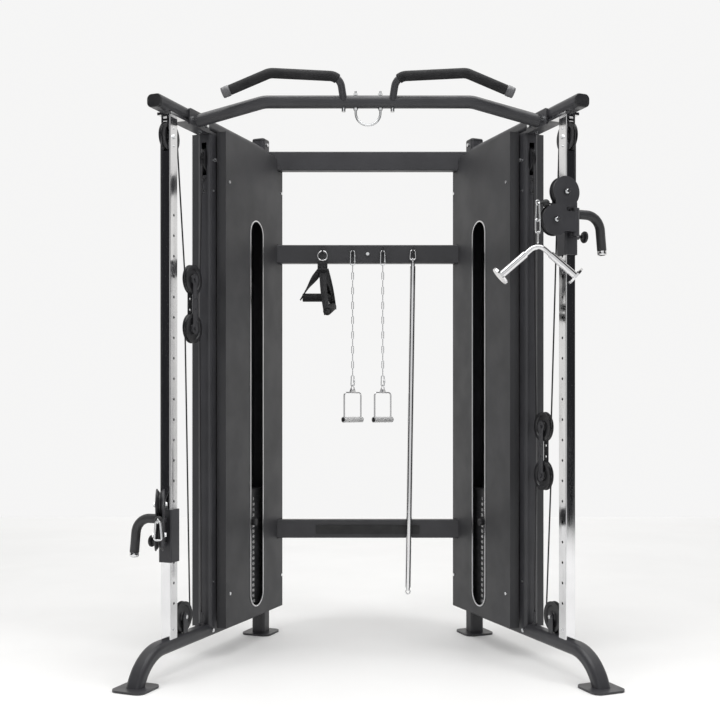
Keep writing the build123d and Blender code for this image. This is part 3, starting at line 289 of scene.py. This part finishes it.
def studio_world():
    """White to the eye, a dim room behind the camera in reflections, soft fill for the rest."""
    world = bpy.data.worlds.new("studio")
    world.use_nodes = True
    tree = world.node_tree
    shader = tree.nodes["Background"]
    place = tree.nodes.new("ShaderNodeTexCoord")
    split = tree.nodes.new("ShaderNodeSeparateXYZ")
    depth = tree.nodes.new("ShaderNodeMapRange")
    depth.inputs["From Min"].default_value = -1
    tree.links.new(place.outputs["Generated"], split.inputs["Vector"])
    tree.links.new(split.outputs["Y"], depth.inputs["Value"])
    fill = ramp(tree, depth.outputs["Result"], (0.16, 0.16, 0.165), (1.0, 1.0, 1.0), 0.0, 0.45)
    room = ramp(tree, depth.outputs["Result"], (0.90, 0.90, 0.90), (0.95, 0.94, 0.92), 0.06, 0.60)
    for place_in_room, grey in ((0.13, 0.022), (0.38, 0.022)):
        room.node.color_ramp.elements.new(place_in_room).color = (grey, grey, grey * 1.1, 1)
    ray = tree.nodes.new("ShaderNodeLightPath")
    colour = choose(tree, ray.outputs["Is Glossy Ray"], fill, room)
    colour = choose(tree, ray.outputs["Is Camera Ray"], colour, (1.01, 1.008, 1.006, 1))
    tree.links.new(colour, shader.inputs["Color"])
    shader.inputs["Strength"].default_value = WALL_BRIGHTNESS
    bpy.context.scene.world = world


studio_world()
bpy.context.scene.view_settings.view_transform = "Standard"

FLOOR_FRONT, FLOOR_BACK, FLOOR_HALF = -3.4, 5.0, 4.5


def studio_floor():
    """Pale floor with a painted glow: its emission rises towards the back until it meets the white wall."""
    material = mottled(
        "studio_floor", (0.775, 0.772, 0.765), (0.80, 0.797, 0.79), (0.55, 0.65),
        grain=300.0, patch=1.5)
    tree = material.node_tree
    shader = tree.nodes["Principled BSDF"]
    place = tree.nodes.new("ShaderNodeTexCoord")
    split = tree.nodes.new("ShaderNodeSeparateXYZ")
    painted_glow = tree.nodes.new("ShaderNodeMapRange")
    painted_glow.inputs["From Min"].default_value = 0.9
    painted_glow.inputs["From Max"].default_value = FLOOR_BACK
    painted_glow.inputs["To Max"].default_value = 0.225
    tree.links.new(place.outputs["Object"], split.inputs["Vector"])
    tree.links.new(split.outputs["Y"], painted_glow.inputs["Value"])
    # Painted light: white emission that grows towards the back makes the floor glow there, in place of lighting.
    shader.inputs["Emission Color"].default_value = (1, 1, 1, 1)
    tree.links.new(painted_glow.outputs["Result"], shader.inputs["Emission Strength"])
    mesh = bpy.data.meshes.new("floor")
    mesh.from_pydata(
        [(-FLOOR_HALF, FLOOR_FRONT, 0), (FLOOR_HALF, FLOOR_FRONT, 0),
         (FLOOR_HALF, FLOOR_BACK, 0), (-FLOOR_HALF, FLOOR_BACK, 0)], [], [(0, 1, 2, 3)])
    mesh.materials.append(material)
    floor = bpy.data.objects.new("floor", mesh)
    bpy.context.scene.collection.objects.link(floor)


studio_floor()

# ---------------------------------------------------------------- mesh tools


def new_piece(name, verts, faces, material, body, smooth=True):
    """A mesh object with the given material that rides on a body when one is given."""
    mesh = bpy.data.meshes.new(name)
    mesh.from_pydata([tuple(v) for v in verts], [], faces)
    mesh.materials.append(material)
    mesh.validate()
    mesh.shade_smooth() if smooth else mesh.shade_flat()
    piece = bpy.data.objects.new(name, mesh)
    bpy.context.scene.collection.objects.link(piece)
    if body:
        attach(piece, body)
    return piece


def rounded(corners, radii, steps=8, closed=False):
    """Points along straight runs joined by arcs of the given radii."""
    points = [Vector(c) for c in corners]
    count = len(points)
    radii = radii if isinstance(radii, (list, tuple)) else [radii] * (count if closed else count - 2)
    out = [] if closed else [points[0]]
    inner = range(count) if closed else range(1, count - 1)
    for n, radius in zip(inner, radii):
        corner = points[n]
        a = (points[n - 1] - corner).normalized()
        b = (points[(n + 1) % count] - corner).normalized()
        half = a.angle(b) / 2
        reach = radius / math.tan(half)
        centre = corner + (a + b).normalized() * (radius / math.sin(half))
        start, stop = corner + a * reach - centre, corner + b * reach - centre
        for k in range(steps + 1):
            out.append(centre + start.slerp(stop, k / steps, start.normalized()).normalized() * radius)
    if not closed:
        out.append(points[-1])
    return out


def frames_along(points, closed=False):
    """Two cross directions at every point, carried along without twist."""
    count = len(points)
    tangents = []
    for n in range(count):
        before = points[n - 1] if closed or n else points[n]
        after = points[(n + 1) % count] if closed or n + 1 < count else points[n]
        tangents.append((after - before).normalized())
    side = tangents[0].orthogonal().normalized()
    sides = [side]
    for old, new in zip(tangents, tangents[1:]):
        side = (old.rotation_difference(new) @ side).normalized()
        side = (side - new * side.dot(new)).normalized()
        sides.append(side)
    return [(s, t.cross(s)) for s, t in zip(sides, tangents)]


def tube_data(points, radius, sides=12, closed=False):
    """Vertices and faces of a round tube; radius may be a list, one for each point."""
    points = [Vector(p) for p in points]
    count = len(points)
    radii = radius if isinstance(radius, list) else [radius] * count
    frames = frames_along(points, closed)
    verts, faces = [], []
    for point, size, (u, v) in zip(points, radii, frames):
        for k in range(sides):
            turn = 2 * math.pi * k / sides
            verts.append(point + (u * math.cos(turn) + v * math.sin(turn)) * size)
    spans = count if closed else count - 1
    for n in range(spans):
        shift = 0
        if closed and n == count - 1:
            first = verts[0] - points[0]
            shift = min(range(sides), key=lambda k: (verts[n * sides + k] - points[n] - first).length)
        for k in range(sides):
            a, b = n * sides + (k + shift) % sides, n * sides + (k + 1 + shift) % sides
            c, d = (n + 1) % count * sides + (k + 1) % sides, (n + 1) % count * sides + k
            faces.append((a, b, c, d))
    if not closed:
        faces.append(tuple(reversed(range(sides))))
        faces.append(tuple(range((count - 1) * sides, count * sides)))
    return verts, faces


def tube(name, points, radius, material, body, sides=12, closed=False):
    verts, faces = tube_data(points, radius, sides, closed)
    return new_piece(name, verts, faces, material, body)


def lathe_data(profile, base, axis, sides=32):
    """Surface of revolution from (radius, height) pairs along an axis."""
    axis = Vector(axis).normalized()
    u = axis.orthogonal().normalized()
    v = axis.cross(u)
    verts, faces = [], []
    for radius, height in profile:
        for k in range(sides):
            turn = 2 * math.pi * k / sides
            spoke = u * math.cos(turn) + v * math.sin(turn)
            verts.append(Vector(base) + axis * height + spoke * radius)
    for n in range(len(profile) - 1):
        for k in range(sides):
            a, b = n * sides + k, n * sides + (k + 1) % sides
            faces.append((a, b, b + sides, a + sides))
    faces.append(tuple(reversed(range(sides))))
    faces.append(tuple(range((len(profile) - 1) * sides, len(profile) * sides)))
    return verts, faces


def lathe(name, profile, base, axis, material, body, sides=32):
    verts, faces = lathe_data(profile, base, axis, sides)
    return new_piece(name, verts, faces, material, body)


def joined(name, parts, material, body):
    """One piece from several (vertices, faces) pairs."""
    verts, faces = [], []
    for some_verts, some_faces in parts:
        start = len(verts)
        verts += some_verts
        faces += [tuple(i + start for i in face) for face in some_faces]
    return new_piece(name, verts, faces, material, body)


# ---------------------------------------------------------------- places on a side unit


def pivot(joint):
    return Vector(JOINTS[joint]["pos_m"])


def unit_axes(side):
    """Directions across the unit to the machine's middle and back along it."""
    back = pivot(f"{side}_upright_pulley_spin") - pivot(f"{side}_column_pulley_spin")
    back.z = 0
    back.normalize()
    across = Vector(JOINTS[f"{side}_upright_pulley_spin"]["axis"])
    across.z = 0
    across.normalize()
    return (across if across.x * (1 if side == "left" else -1) > 0 else -across), back


COLUMN_BACK = 0.213
BALL_AHEAD, BALL_RADIUS = 0.128, 0.0145


def at(side, across, back, height):
    """A point of the side unit in the machine frame."""
    u, v = unit_axes(side)
    origin = pivot(f"{side}_column_pulley_spin") - v * COLUMN_BACK
    origin.z = 0
    return origin + u * across + v * back + UP * height


def on_unit(side, point):
    """(across, back, height) of a point in the machine frame."""
    u, v = unit_axes(side)
    origin = at(side, 0, 0, 0)
    gap = Vector(point) - origin
    return gap.dot(u), gap.dot(v), point[2]


def carriage_foot(side):
    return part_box(f"{side}_carriage")[0].z


def ahead(side):
    """Direction in which a swivel block points."""
    return Vector(JOINTS[f"{side}_cable_pull"]["axis"])


# ---------------------------------------------------------------- cables


def tangent(a, side_a, radius_a, b, side_b, radius_b):
    """Ends of the straight run between two pulleys in the (back, height) plane."""
    span = math.hypot(b[0] - a[0], b[1] - a[1])
    heading = math.atan2(b[1] - a[1], b[0] - a[0])
    heading -= math.asin((side_b * radius_b - side_a * radius_a) / span)
    normal = (-math.sin(heading), math.cos(heading))
    start = [c - side_a * radius_a * n for c, n in zip(a, normal)]
    stop = [c - side_b * radius_b * n for c, n in zip(b, normal)]
    return tuple(start), tuple(stop)


def run_points(a, b, pieces=24):
    return [Vector(a).lerp(Vector(b), k / pieces) for k in range(pieces + 1)]


def arc_points(side, stop, before, after, pieces=20):
    """Points of the cable round one pulley, from the end of one run to the start of the next."""
    (centre, way, radius) = stop
    start = math.atan2(before[1] - centre[1], before[0] - centre[0])
    end = math.atan2(after[1] - centre[1], after[0] - centre[0])
    turn = (end - start) * way % (2 * math.pi)
    angles = [start + way * turn * k / pieces for k in range(pieces + 1)]
    back, height = centre
    return [at(side, 0, back + radius * math.cos(a), height + radius * math.sin(a)) for a in angles]


def plane_spot(side, joint):
    _, back, height = on_unit(side, pivot(joint))
    return back, height


def cable_run(side, name, a, b, body_a, body_b):
    """Straight stretch between two pulleys; rides their body when both ends share one, else is left unattached."""
    ends = at(side, 0, *a), at(side, 0, *b)
    if body_a == body_b:
        tube(name, run_points(*ends), CABLE, COAT, body_a)
        return
    piece = tube(name, run_points(*ends), CABLE, COAT, None)
    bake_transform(piece)


def cable_over(side, name, stops, bodies):
    """Every run and arc of a cable over its pulleys."""
    ends = [tangent(*a, *b) for a, b in zip(stops, stops[1:])]
    for n, (a, b) in enumerate(ends):
        cable_run(side, f"{name}_run_{n + 1}", a, b, bodies[n], bodies[n + 1])
        if n + 1 < len(ends):
            points = arc_points(side, stops[n + 1], b, ends[n + 1][0])
            tube(f"{name}_bend_{n + 1}", points, CABLE, COAT, bodies[n + 1])


def long_cable(side):
    spot = lambda name: plane_spot(side, f"{side}_{name}_spin")
    upper = pivot(f"{side}_upper_block_pulley_spin")
    swivel = pivot(f"{side}_block_swivel")
    swivel_back = on_unit(side, swivel)[1]
    weights_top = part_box(f"{side}_lifted_weights")[1].z
    stack_back = spot("stack_pulley")[0] + PULLEY_PITCH
    stops = [
        ((swivel_back, upper.z), 1, 0),
        (spot("column_pulley"), -1, PULLEY_PITCH),
        (spot("floating_upper_pulley"), 1, PULLEY_PITCH),
        (spot("upright_pulley"), -1, PULLEY_PITCH),
        (spot("stack_pulley"), -1, PULLEY_PITCH),
        ((stack_back, weights_top), 1, 0),
    ]
    bodies = [
        f"{side}_carriage", "frame", f"{side}_floating_block", "frame", "frame",
        f"{side}_lifted_weights",
    ]
    cable_over(side, f"{side}_long_cable", stops, bodies)
    heading = ahead(side)
    points = []
    for k in range(17):
        turn = math.pi / 2 * k / 16
        spoke = heading * math.cos(turn) + UP * math.sin(turn)
        points.append(upper - spoke * SMALL_PITCH)
    block = f"{side}_swivel_block"
    tube(f"{side}_long_cable_exit_bend", points, CABLE, COAT, block)
    leave, ball = points[-1], ball_centre(side)
    piece = tube(f"{side}_long_cable_exit", run_points(leave, ball), CABLE, COAT, None)
    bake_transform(piece)


def short_cable(side):
    spot = lambda name: plane_spot(side, f"{side}_{name}_spin")
    base = spot("base_pulley")
    lug = carriage_foot(side) + LUG_RISE
    stops = [
        ((base[0] - PULLEY_PITCH, lug), 1, 0),
        (base, 1, PULLEY_PITCH),
        (spot("floating_lower_pulley"), -1, PULLEY_PITCH),
        (ANCHOR, 1, 0),
    ]
    bodies = [f"{side}_carriage", "frame", f"{side}_floating_block", "frame"]
    cable_over(side, f"{side}_short_cable", stops, bodies)


def ball_centre(side):
    swivel = pivot(f"{side}_block_swivel")
    upper = pivot(f"{side}_upper_block_pulley_spin")
    place = swivel + ahead(side) * BALL_AHEAD
    return Vector((place.x, place.y, upper.z - SMALL_PITCH))


for side in SIDES:
    long_cable(side)
    short_cable(side)
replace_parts(bpy.data.objects["left_long_cable_bend_1"], "cables")

# ---------------------------------------------------------------- grips


def with_lips(points, radius, lip=0.003):
    """Path and radii of a sleeve with rounded ends."""
    first = (points[1] - points[0]).normalized()
    last = (points[-1] - points[-2]).normalized()
    path = [points[0], points[0] + first * lip * 0.3, points[0] + first * lip] + points[1:-1]
    path += [points[-1] - last * lip, points[-1] - last * lip * 0.3, points[-1]]
    edge = [radius - lip, radius - lip * 0.3, radius]
    return path, edge + [radius] * (len(points) - 2) + edge[::-1]


PULL_Y, PULL_Z = -0.1185, 2.143


def pull_up_grip(side):
    """Foam sleeve over the raised grip, bare at its root, with a plastic cap on its free end."""
    sign = -1 if side == "left" else 1
    corners = [
        (sign * 0.093, PULL_Y - 0.014, PULL_Z + 0.004), (sign * 0.106, PULL_Y - 0.040, PULL_Z + 0.084),
        (sign * 0.368, PULL_Y - 0.058, PULL_Z + 0.091), (sign * 0.546, PULL_Y - 0.058, PULL_Z + 0.015),
    ]
    path = rounded(corners, [0.045, 0.060])
    way = (path[-1] - path[-2]).normalized()
    points, radii = with_lips(path[5:-1] + [path[-1] - way * 0.030], 0.019)
    foam = tube(f"{side}_pull_up_foam", points, radii, FOAM, "frame", sides=28)
    cap = [
        (0.015, 0), (0.0205, 0.002), (0.0208, 0.016), (0.0195, 0.020), (0.0205, 0.024),
        (0.0190, 0.031), (0.010, 0.033),
    ]
    lathe(f"{side}_pull_up_cap", cap, path[-1] - way * 0.031, way, CAP_GREY, "frame")
    return foam


HANDLE_ROOT, HANDLE_OUT, HANDLE_LEAN = -0.027, 0.112, 0.014
HANDLE_RISE, HANDLE_DROP = 0.155, 0.146


def carriage_grip(side):
    """Vinyl sleeve over the carriage handle, with a bright cap on its end."""
    body = f"{side}_carriage"
    height = carriage_foot(side) + HANDLE_RISE
    out = HANDLE_ROOT - HANDLE_OUT
    corners = [
        at(side, HANDLE_ROOT - 0.006, COLUMN_BACK, height), at(side, out, COLUMN_BACK, height),
        at(side, out - HANDLE_LEAN, COLUMN_BACK, height - HANDLE_DROP),
    ]
    path = rounded(corners, [0.060], steps=14)
    way = (path[-1] - path[-2]).normalized()
    points, radii = with_lips(path[:-1] + [path[-1] - way * 0.016], 0.0175)
    grip = tube(f"{side}_carriage_vinyl", points, radii, VINYL, body, sides=28)
    cap = [(0.0150, 0), (0.0176, 0.0015), (0.0176, 0.0115), (0.0160, 0.0150), (0.0105, 0.0160)]
    lathe(f"{side}_grip_cap", cap, path[-1] - way * 0.0165, way, CHROME, body)
    plug = [(0.0102, 0), (0.0102, 0.0012), (0.0085, 0.0020)]
    lathe(f"{side}_grip_plug", plug, path[-1] - way * 0.0010, way, PLASTIC, body)
    return grip


for side in SIDES:
    foam = pull_up_grip(side)
    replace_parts(carriage_grip(side), f"{side}_carriage_grip")
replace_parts(foam, "pull_up_foam_grips")

# ---------------------------------------------------------------- pull pins, bolts and cable ends

PIN_RISE, PIN_TIP = 0.072, -0.0204


def pull_pin(side):
    """Steel shank and mushroom knob; the carriage's ferrule round it is chromed."""
    body = f"{side}_pop_pin"
    height = carriage_foot(side) + PIN_RISE
    tip, outwards = at(side, PIN_TIP, COLUMN_BACK, height), -unit_axes(side)[0]
    rod = [(0.0040, 0), (0.0048, 0.001), (0.0048, 0.044)]
    shank = lathe(f"{side}_pin_shank", rod, tip, outwards, STEEL, body)
    knob = [
        (0.0070, 0.0392), (0.0092, 0.0402), (0.0095, 0.0450), (0.0120, 0.0470), (0.0195, 0.0488),
        (0.0222, 0.0525), (0.0216, 0.0570), (0.0165, 0.0608), (0.0080, 0.0624), (0.0015, 0.0628),
    ]
    lathe(f"{side}_pin_knob", knob, tip, outwards, PLASTIC, body, sides=40)
    wall = at(side, HANDLE_ROOT - 0.0004, COLUMN_BACK, height)

    def on_ferrule(point):
        gap = point - wall
        along = gap.dot(outwards)
        return 0 < along < 0.0235 and (gap - outwards * along).length < 0.0125

    paint_faces(f"{side}_carriage", CHROME, on_ferrule)
    return shank


WASHER_THICK, BOLT_RADIUS, AXLE_ZONE = 0.0012, 0.0080, 0.014


def hex_bolt(name, base, way, body):
    """Hexagon head on a washer."""
    radius, rim = BOLT_RADIUS, BOLT_RADIUS + 0.0030
    head = [(radius, 0), (radius, 0.0042), (radius * 0.84, 0.0054)]
    parts = [
        lathe_data([(rim, 0), (rim, WASHER_THICK)], base, way, 32),
        lathe_data(head, Vector(base) + way * WASHER_THICK, way, 6),
    ]
    piece = joined(name, parts, ZINC, body)
    piece.data.shade_flat()


def block_bolts(side):
    """Bolt heads on both cheeks of a swivel block at its two axles."""
    body = f"{side}_swivel_block"
    data = NODES[body].data
    for which in ("upper", "lower"):
        joint = f"{side}_{which}_block_pulley_spin"
        centre, axis = pivot(joint), Vector(JOINTS[joint]["axis"])
        gaps = [vertex.co - centre for vertex in data.vertices]
        depths = [(abs(gap.dot(axis)), (gap - axis * gap.dot(axis)).length) for gap in gaps]
        reach = max(depth for depth, off_axis in depths if off_axis < AXLE_ZONE)
        for way in (-axis, axis):
            facing = "front" if way.y < 0 else "back"
            hex_bolt(f"{side}_{which}_bolt_{facing}", centre + way * (reach - 0.0003), way, body)


for side in SIDES:
    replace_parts(pull_pin(side), f"{side}_pop_pin")
    block_bolts(side)
    ball = ball_centre(side)
    paint_faces(f"{side}_cable_end", ZINC, lambda point: (point - ball).length > BALL_RADIUS + 0.0003)

# ---------------------------------------------------------------- hanging attachments

HANG_Y, HOOK_X = 0.3961, (-0.195, -0.065, 0.065, 0.195)
STIRRUP_FOOT, ROLLER_RADIUS, ROLLER_HALF = 0.9286, 0.0125, 0.0558
STRAP_TOP, STRAP_HALF_THICK = 1.611, 0.0015


def stirrup_roller(side):
    """Light plastic roller on a stirrup, with black plugs in its ends."""
    centre = Vector((HOOK_X[1 if side == "left" else 2], HANG_Y, STIRRUP_FOOT))
    way = Vector((1, 1, 0)).normalized()

    def near(point):
        gap = point - centre
        return (gap - way * gap.dot(way)).length < ROLLER_RADIUS + 0.0006

    paint_faces(f"{side}_stirrup", ROLLER_GREY, near)
    plug = [(0.0098, 0), (0.0098, 0.0010), (0.0085, 0.0016)]
    plugs = [
        lathe_data(plug, centre + way * (sign * ROLLER_HALF), way * sign, 24) for sign in (-1, 1)
    ]
    joined(f"{side}_roller_plugs", plugs, PLASTIC, f"{side}_chain_handle")


def wire_ring(centre, width, height, wire, turn=0.0, taper=1.0):
    """Closed loop of round wire with round ends, its plane turned about the vertical."""
    half, wide = height / 2 - wire, width / 2 - wire
    side_way = Vector((math.cos(turn), math.sin(turn), 0))
    corners = [
        centre - side_way * (wide * taper) + UP * half, centre + side_way * (wide * taper) + UP * half,
        centre + side_way * wide - UP * half, centre - side_way * wide - UP * half,
    ]
    radii = [wide * taper * 0.97] * 2 + [wide * 0.97 * (0.5 + taper / 2)] * 2
    return tube_data(rounded(corners, radii, steps=8, closed=True), wire, 12, closed=True)


LINK_COUNT, LINK_HEIGHT, LINK_WIRE, GAP = 15, 0.0362, 0.0020, 0.0003
CLIP_TOP, CLIP_HEIGHT, CLIP_WIRE = 1.6593, 0.066, 0.003
NUT_LINK_HEIGHT, NUT_LINK_WIRE = 0.050, 0.0025


def handle_chain(side):
    """Snap hook with its gate, long-link chain and the quick link with its nut."""
    x, body = HOOK_X[1 if side == "left" else 2], f"{side}_chain_handle"
    spot = lambda top, height: Vector((x, HANG_Y, top - height / 2))
    clip = spot(CLIP_TOP, CLIP_HEIGHT)
    loops = [wire_ring(clip, 0.026, CLIP_HEIGHT, CLIP_WIRE, 0, 0.85)]
    sleeve = clip + Vector((0.0094, 0, -0.004))
    gate = [(0.0036, -0.013), (0.0042, -0.012), (0.0042, 0.012), (0.0036, 0.013)]
    loops.append(lathe_data(gate, sleeve, UP, 20))
    low = CLIP_TOP - CLIP_HEIGHT
    for n in range(LINK_COUNT):
        top = low + LINK_WIRE + GAP + (CLIP_WIRE if n == 0 else LINK_WIRE)
        low = top - LINK_HEIGHT
        turn = math.pi / 2 if n % 2 == 0 else 0.0
        loops.append(wire_ring(spot(top, LINK_HEIGHT), 0.012, LINK_HEIGHT, LINK_WIRE, turn))
    top = low + LINK_WIRE + NUT_LINK_WIRE + GAP
    link = spot(top, NUT_LINK_HEIGHT)
    loops.append(wire_ring(link, 0.019, NUT_LINK_HEIGHT, NUT_LINK_WIRE, 0, 0.8))
    nut = [(0.0044, -0.007), (0.0044, 0.007)]
    loops.append(lathe_data(nut, link + Vector((0.0063, 0, -0.002)), UP, 6))
    return joined(f"{side}_chain_and_links", loops, ZINC, body)


def ribbon(points, across, half_width, half_thick=STRAP_HALF_THICK):
    """Flat strap with rounded edges along points, its width along a direction at each point."""
    verts, faces = [], []
    outline = [
        (-1, -0.5), (-0.96, -1), (0.96, -1), (1, -0.5), (1, 0.5), (0.96, 1), (-0.96, 1), (-1, 0.5),
    ]
    count = len(outline)
    for n, (point, wide) in enumerate(zip(points, across)):
        way = (points[min(n + 1, len(points) - 1)] - points[max(n - 1, 0)]).normalized()
        wide = (wide - way * wide.dot(way)).normalized()
        thick = way.cross(wide)
        verts += [point + wide * (a * half_width) + thick * (b * half_thick) for a, b in outline]
    for n in range(len(points) - 1):
        for k in range(count):
            a, b = n * count + k, n * count + (k + 1) % count
            faces.append((a, b, b + count, a + count))
    faces.append(tuple(reversed(range(count))))
    faces.append(tuple(range((len(points) - 1) * count, len(points) * count)))
    return verts, faces


def twisted_leg(head, end, along, half_width, bow):
    """Strap from the gathered top to the end of a grip, turning to lie flat against that end."""
    down = (end - head).normalized()
    flat = along.cross(down).normalized()
    front = Vector((1, 0, 0))
    if front.dot(flat) < 0:
        flat = -flat
    points, across = [], []
    for k in range(25):
        part = k / 24
        ease = min(1.0, part / 0.8)
        ease = ease * ease * (3 - 2 * ease)
        points.append(head.lerp(end, part) + bow * math.sin(math.pi * part) + down * (0.014 * part))
        across.append(front.lerp(flat, ease))
    return ribbon(points, across, half_width)


def tube_grip(start, stop, radius=0.018):
    """Foam tube with a rounded rim and an open, darker bore at each end."""
    length = (stop - start).length
    profile = [
        (0.0030, 0.007), (0.0110, 0.007), (0.0112, 0.001), (0.0128, 0),
        (radius - 0.0015, 0.0004), (radius, 0.003), (radius, length - 0.003),
        (radius - 0.0015, length - 0.0004), (0.0128, length), (0.0112, length - 0.001),
        (0.0110, length - 0.007), (0.0030, length - 0.007),
    ]
    return lathe_data(profile, start, stop - start, 32)


def strap_handles():
    """Pair of webbing handles gathered on the first hook."""
    x, body = HOOK_X[0], "strap_handles"
    turns = [2 * math.pi * k / 36 for k in range(36)]
    ring = [Vector((x + 0.0205 * math.sin(a), HANG_Y, 1.6358 + 0.0205 * math.cos(a))) for a in turns]
    tube("strap_ring", ring, 0.003, CHROME, body, closed=True)
    first = Vector((x - 0.086, HANG_Y, 1.455)), Vector((x + 0.038, HANG_Y, 1.455))
    second = Vector((x + 0.023, HANG_Y - 0.085, 1.388)), Vector((x + 0.042, HANG_Y + 0.034, 1.420))
    straps, grips = [], []
    for pair, lift in ((first, 0.0), (second, 0.006)):
        along = (pair[1] - pair[0]).normalized()
        grips.append(tube_grip(*pair))
        for end, sign in zip(pair, (-1, 1)):
            head = Vector((x + sign * 0.006 + lift, HANG_Y - sign * 0.003, STRAP_TOP - 0.034))
            foot = end + along * (sign * 0.0021)
            bow = Vector((0.004 * sign, -0.003, 0))
            straps.append(twisted_leg(head, foot, along, 0.0145, bow))
    top = [Vector((x, HANG_Y, STRAP_TOP - 0.002 - 0.046 * k / 8)) for k in range(9)]
    for offset in (-0.007, -0.0025, 0.0025, 0.007):
        layer = [point + Vector((offset * 0.4, offset, 0)) for point in top]
        straps.append(ribbon(layer, [Vector((1, 0.1 * offset, 0))] * 9, 0.0185))
    keeper = [Vector((x + 0.0205 * math.cos(a), HANG_Y + 0.0112 * math.sin(a), STRAP_TOP - 0.036))
              for a in [2 * math.pi * k / 24 for k in range(25)]]
    straps.append(ribbon(keeper, [UP] * 25, 0.0055, 0.0012))
    piece = joined("handle_webbing", straps, WEBBING, body)
    joined("handle_tube_grips", grips, FOAM, body)
    return piece


for side in SIDES:
    stirrup_roller(side)
    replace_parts(handle_chain(side), f"{side}_handle_chain")
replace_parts(strap_handles(), "strap_handles")

# ---------------------------------------------------------------- plate numbers and pad

PLATE_COUNT, LIFTED_COUNT, PLATE_PITCH = 20, 5, 0.0225
STACK_FLOOR, PLATE_HALF_WIDTH = 0.160, 0.0525
NUMBER_BACK, NUMBER_SIZE, INK_HALF = 0.772, 0.017, 0.00015


def number_mesh(text, size):
    """Vertices and faces of a short text, flat in its own plane."""
    curve = bpy.data.curves.new("number", "FONT")
    curve.body = text
    curve.size = size
    curve.extrude = INK_HALF
    curve.align_x, curve.align_y = "CENTER", "CENTER"
    holder = bpy.data.objects.new("number", curve)
    mesh = bpy.data.meshes.new_from_object(holder)
    data = [v.co.copy() for v in mesh.vertices], [tuple(face.vertices) for face in mesh.polygons]
    bpy.data.objects.remove(holder)
    bpy.data.meshes.remove(mesh)
    return data


def plate_numbers(side):
    """Printed weights on the plates' inner faces, seen through the selector slot."""
    across, back = unit_axes(side)
    reading = UP.cross(across)
    resting, lifted = [], []
    for n in range(PLATE_COUNT):
        height = STACK_FLOOR + PLATE_PITCH * (n + 0.5)
        centre = at(side, PLATE_HALF_WIDTH + INK_HALF, NUMBER_BACK, height)
        verts, faces = number_mesh(str(5 * (PLATE_COUNT - n)), NUMBER_SIZE)
        placed = [centre + reading * v.x + UP * v.y + across * v.z for v in verts]
        (resting if n < PLATE_COUNT - LIFTED_COUNT else lifted).append((placed, faces))
    groups = ("resting", resting, "frame"), ("lifted", lifted, f"{side}_lifted_weights")
    for name, parts, body in groups:
        piece = joined(f"{side}_{name}_numbers", parts, INK, body)
        piece.data.shade_flat()


for side in SIDES:
    plate_numbers(side)
paint_faces("crossbars", RUBBER, lambda point: point.y < 0.41385 and 0.42 < point.z < 0.49)
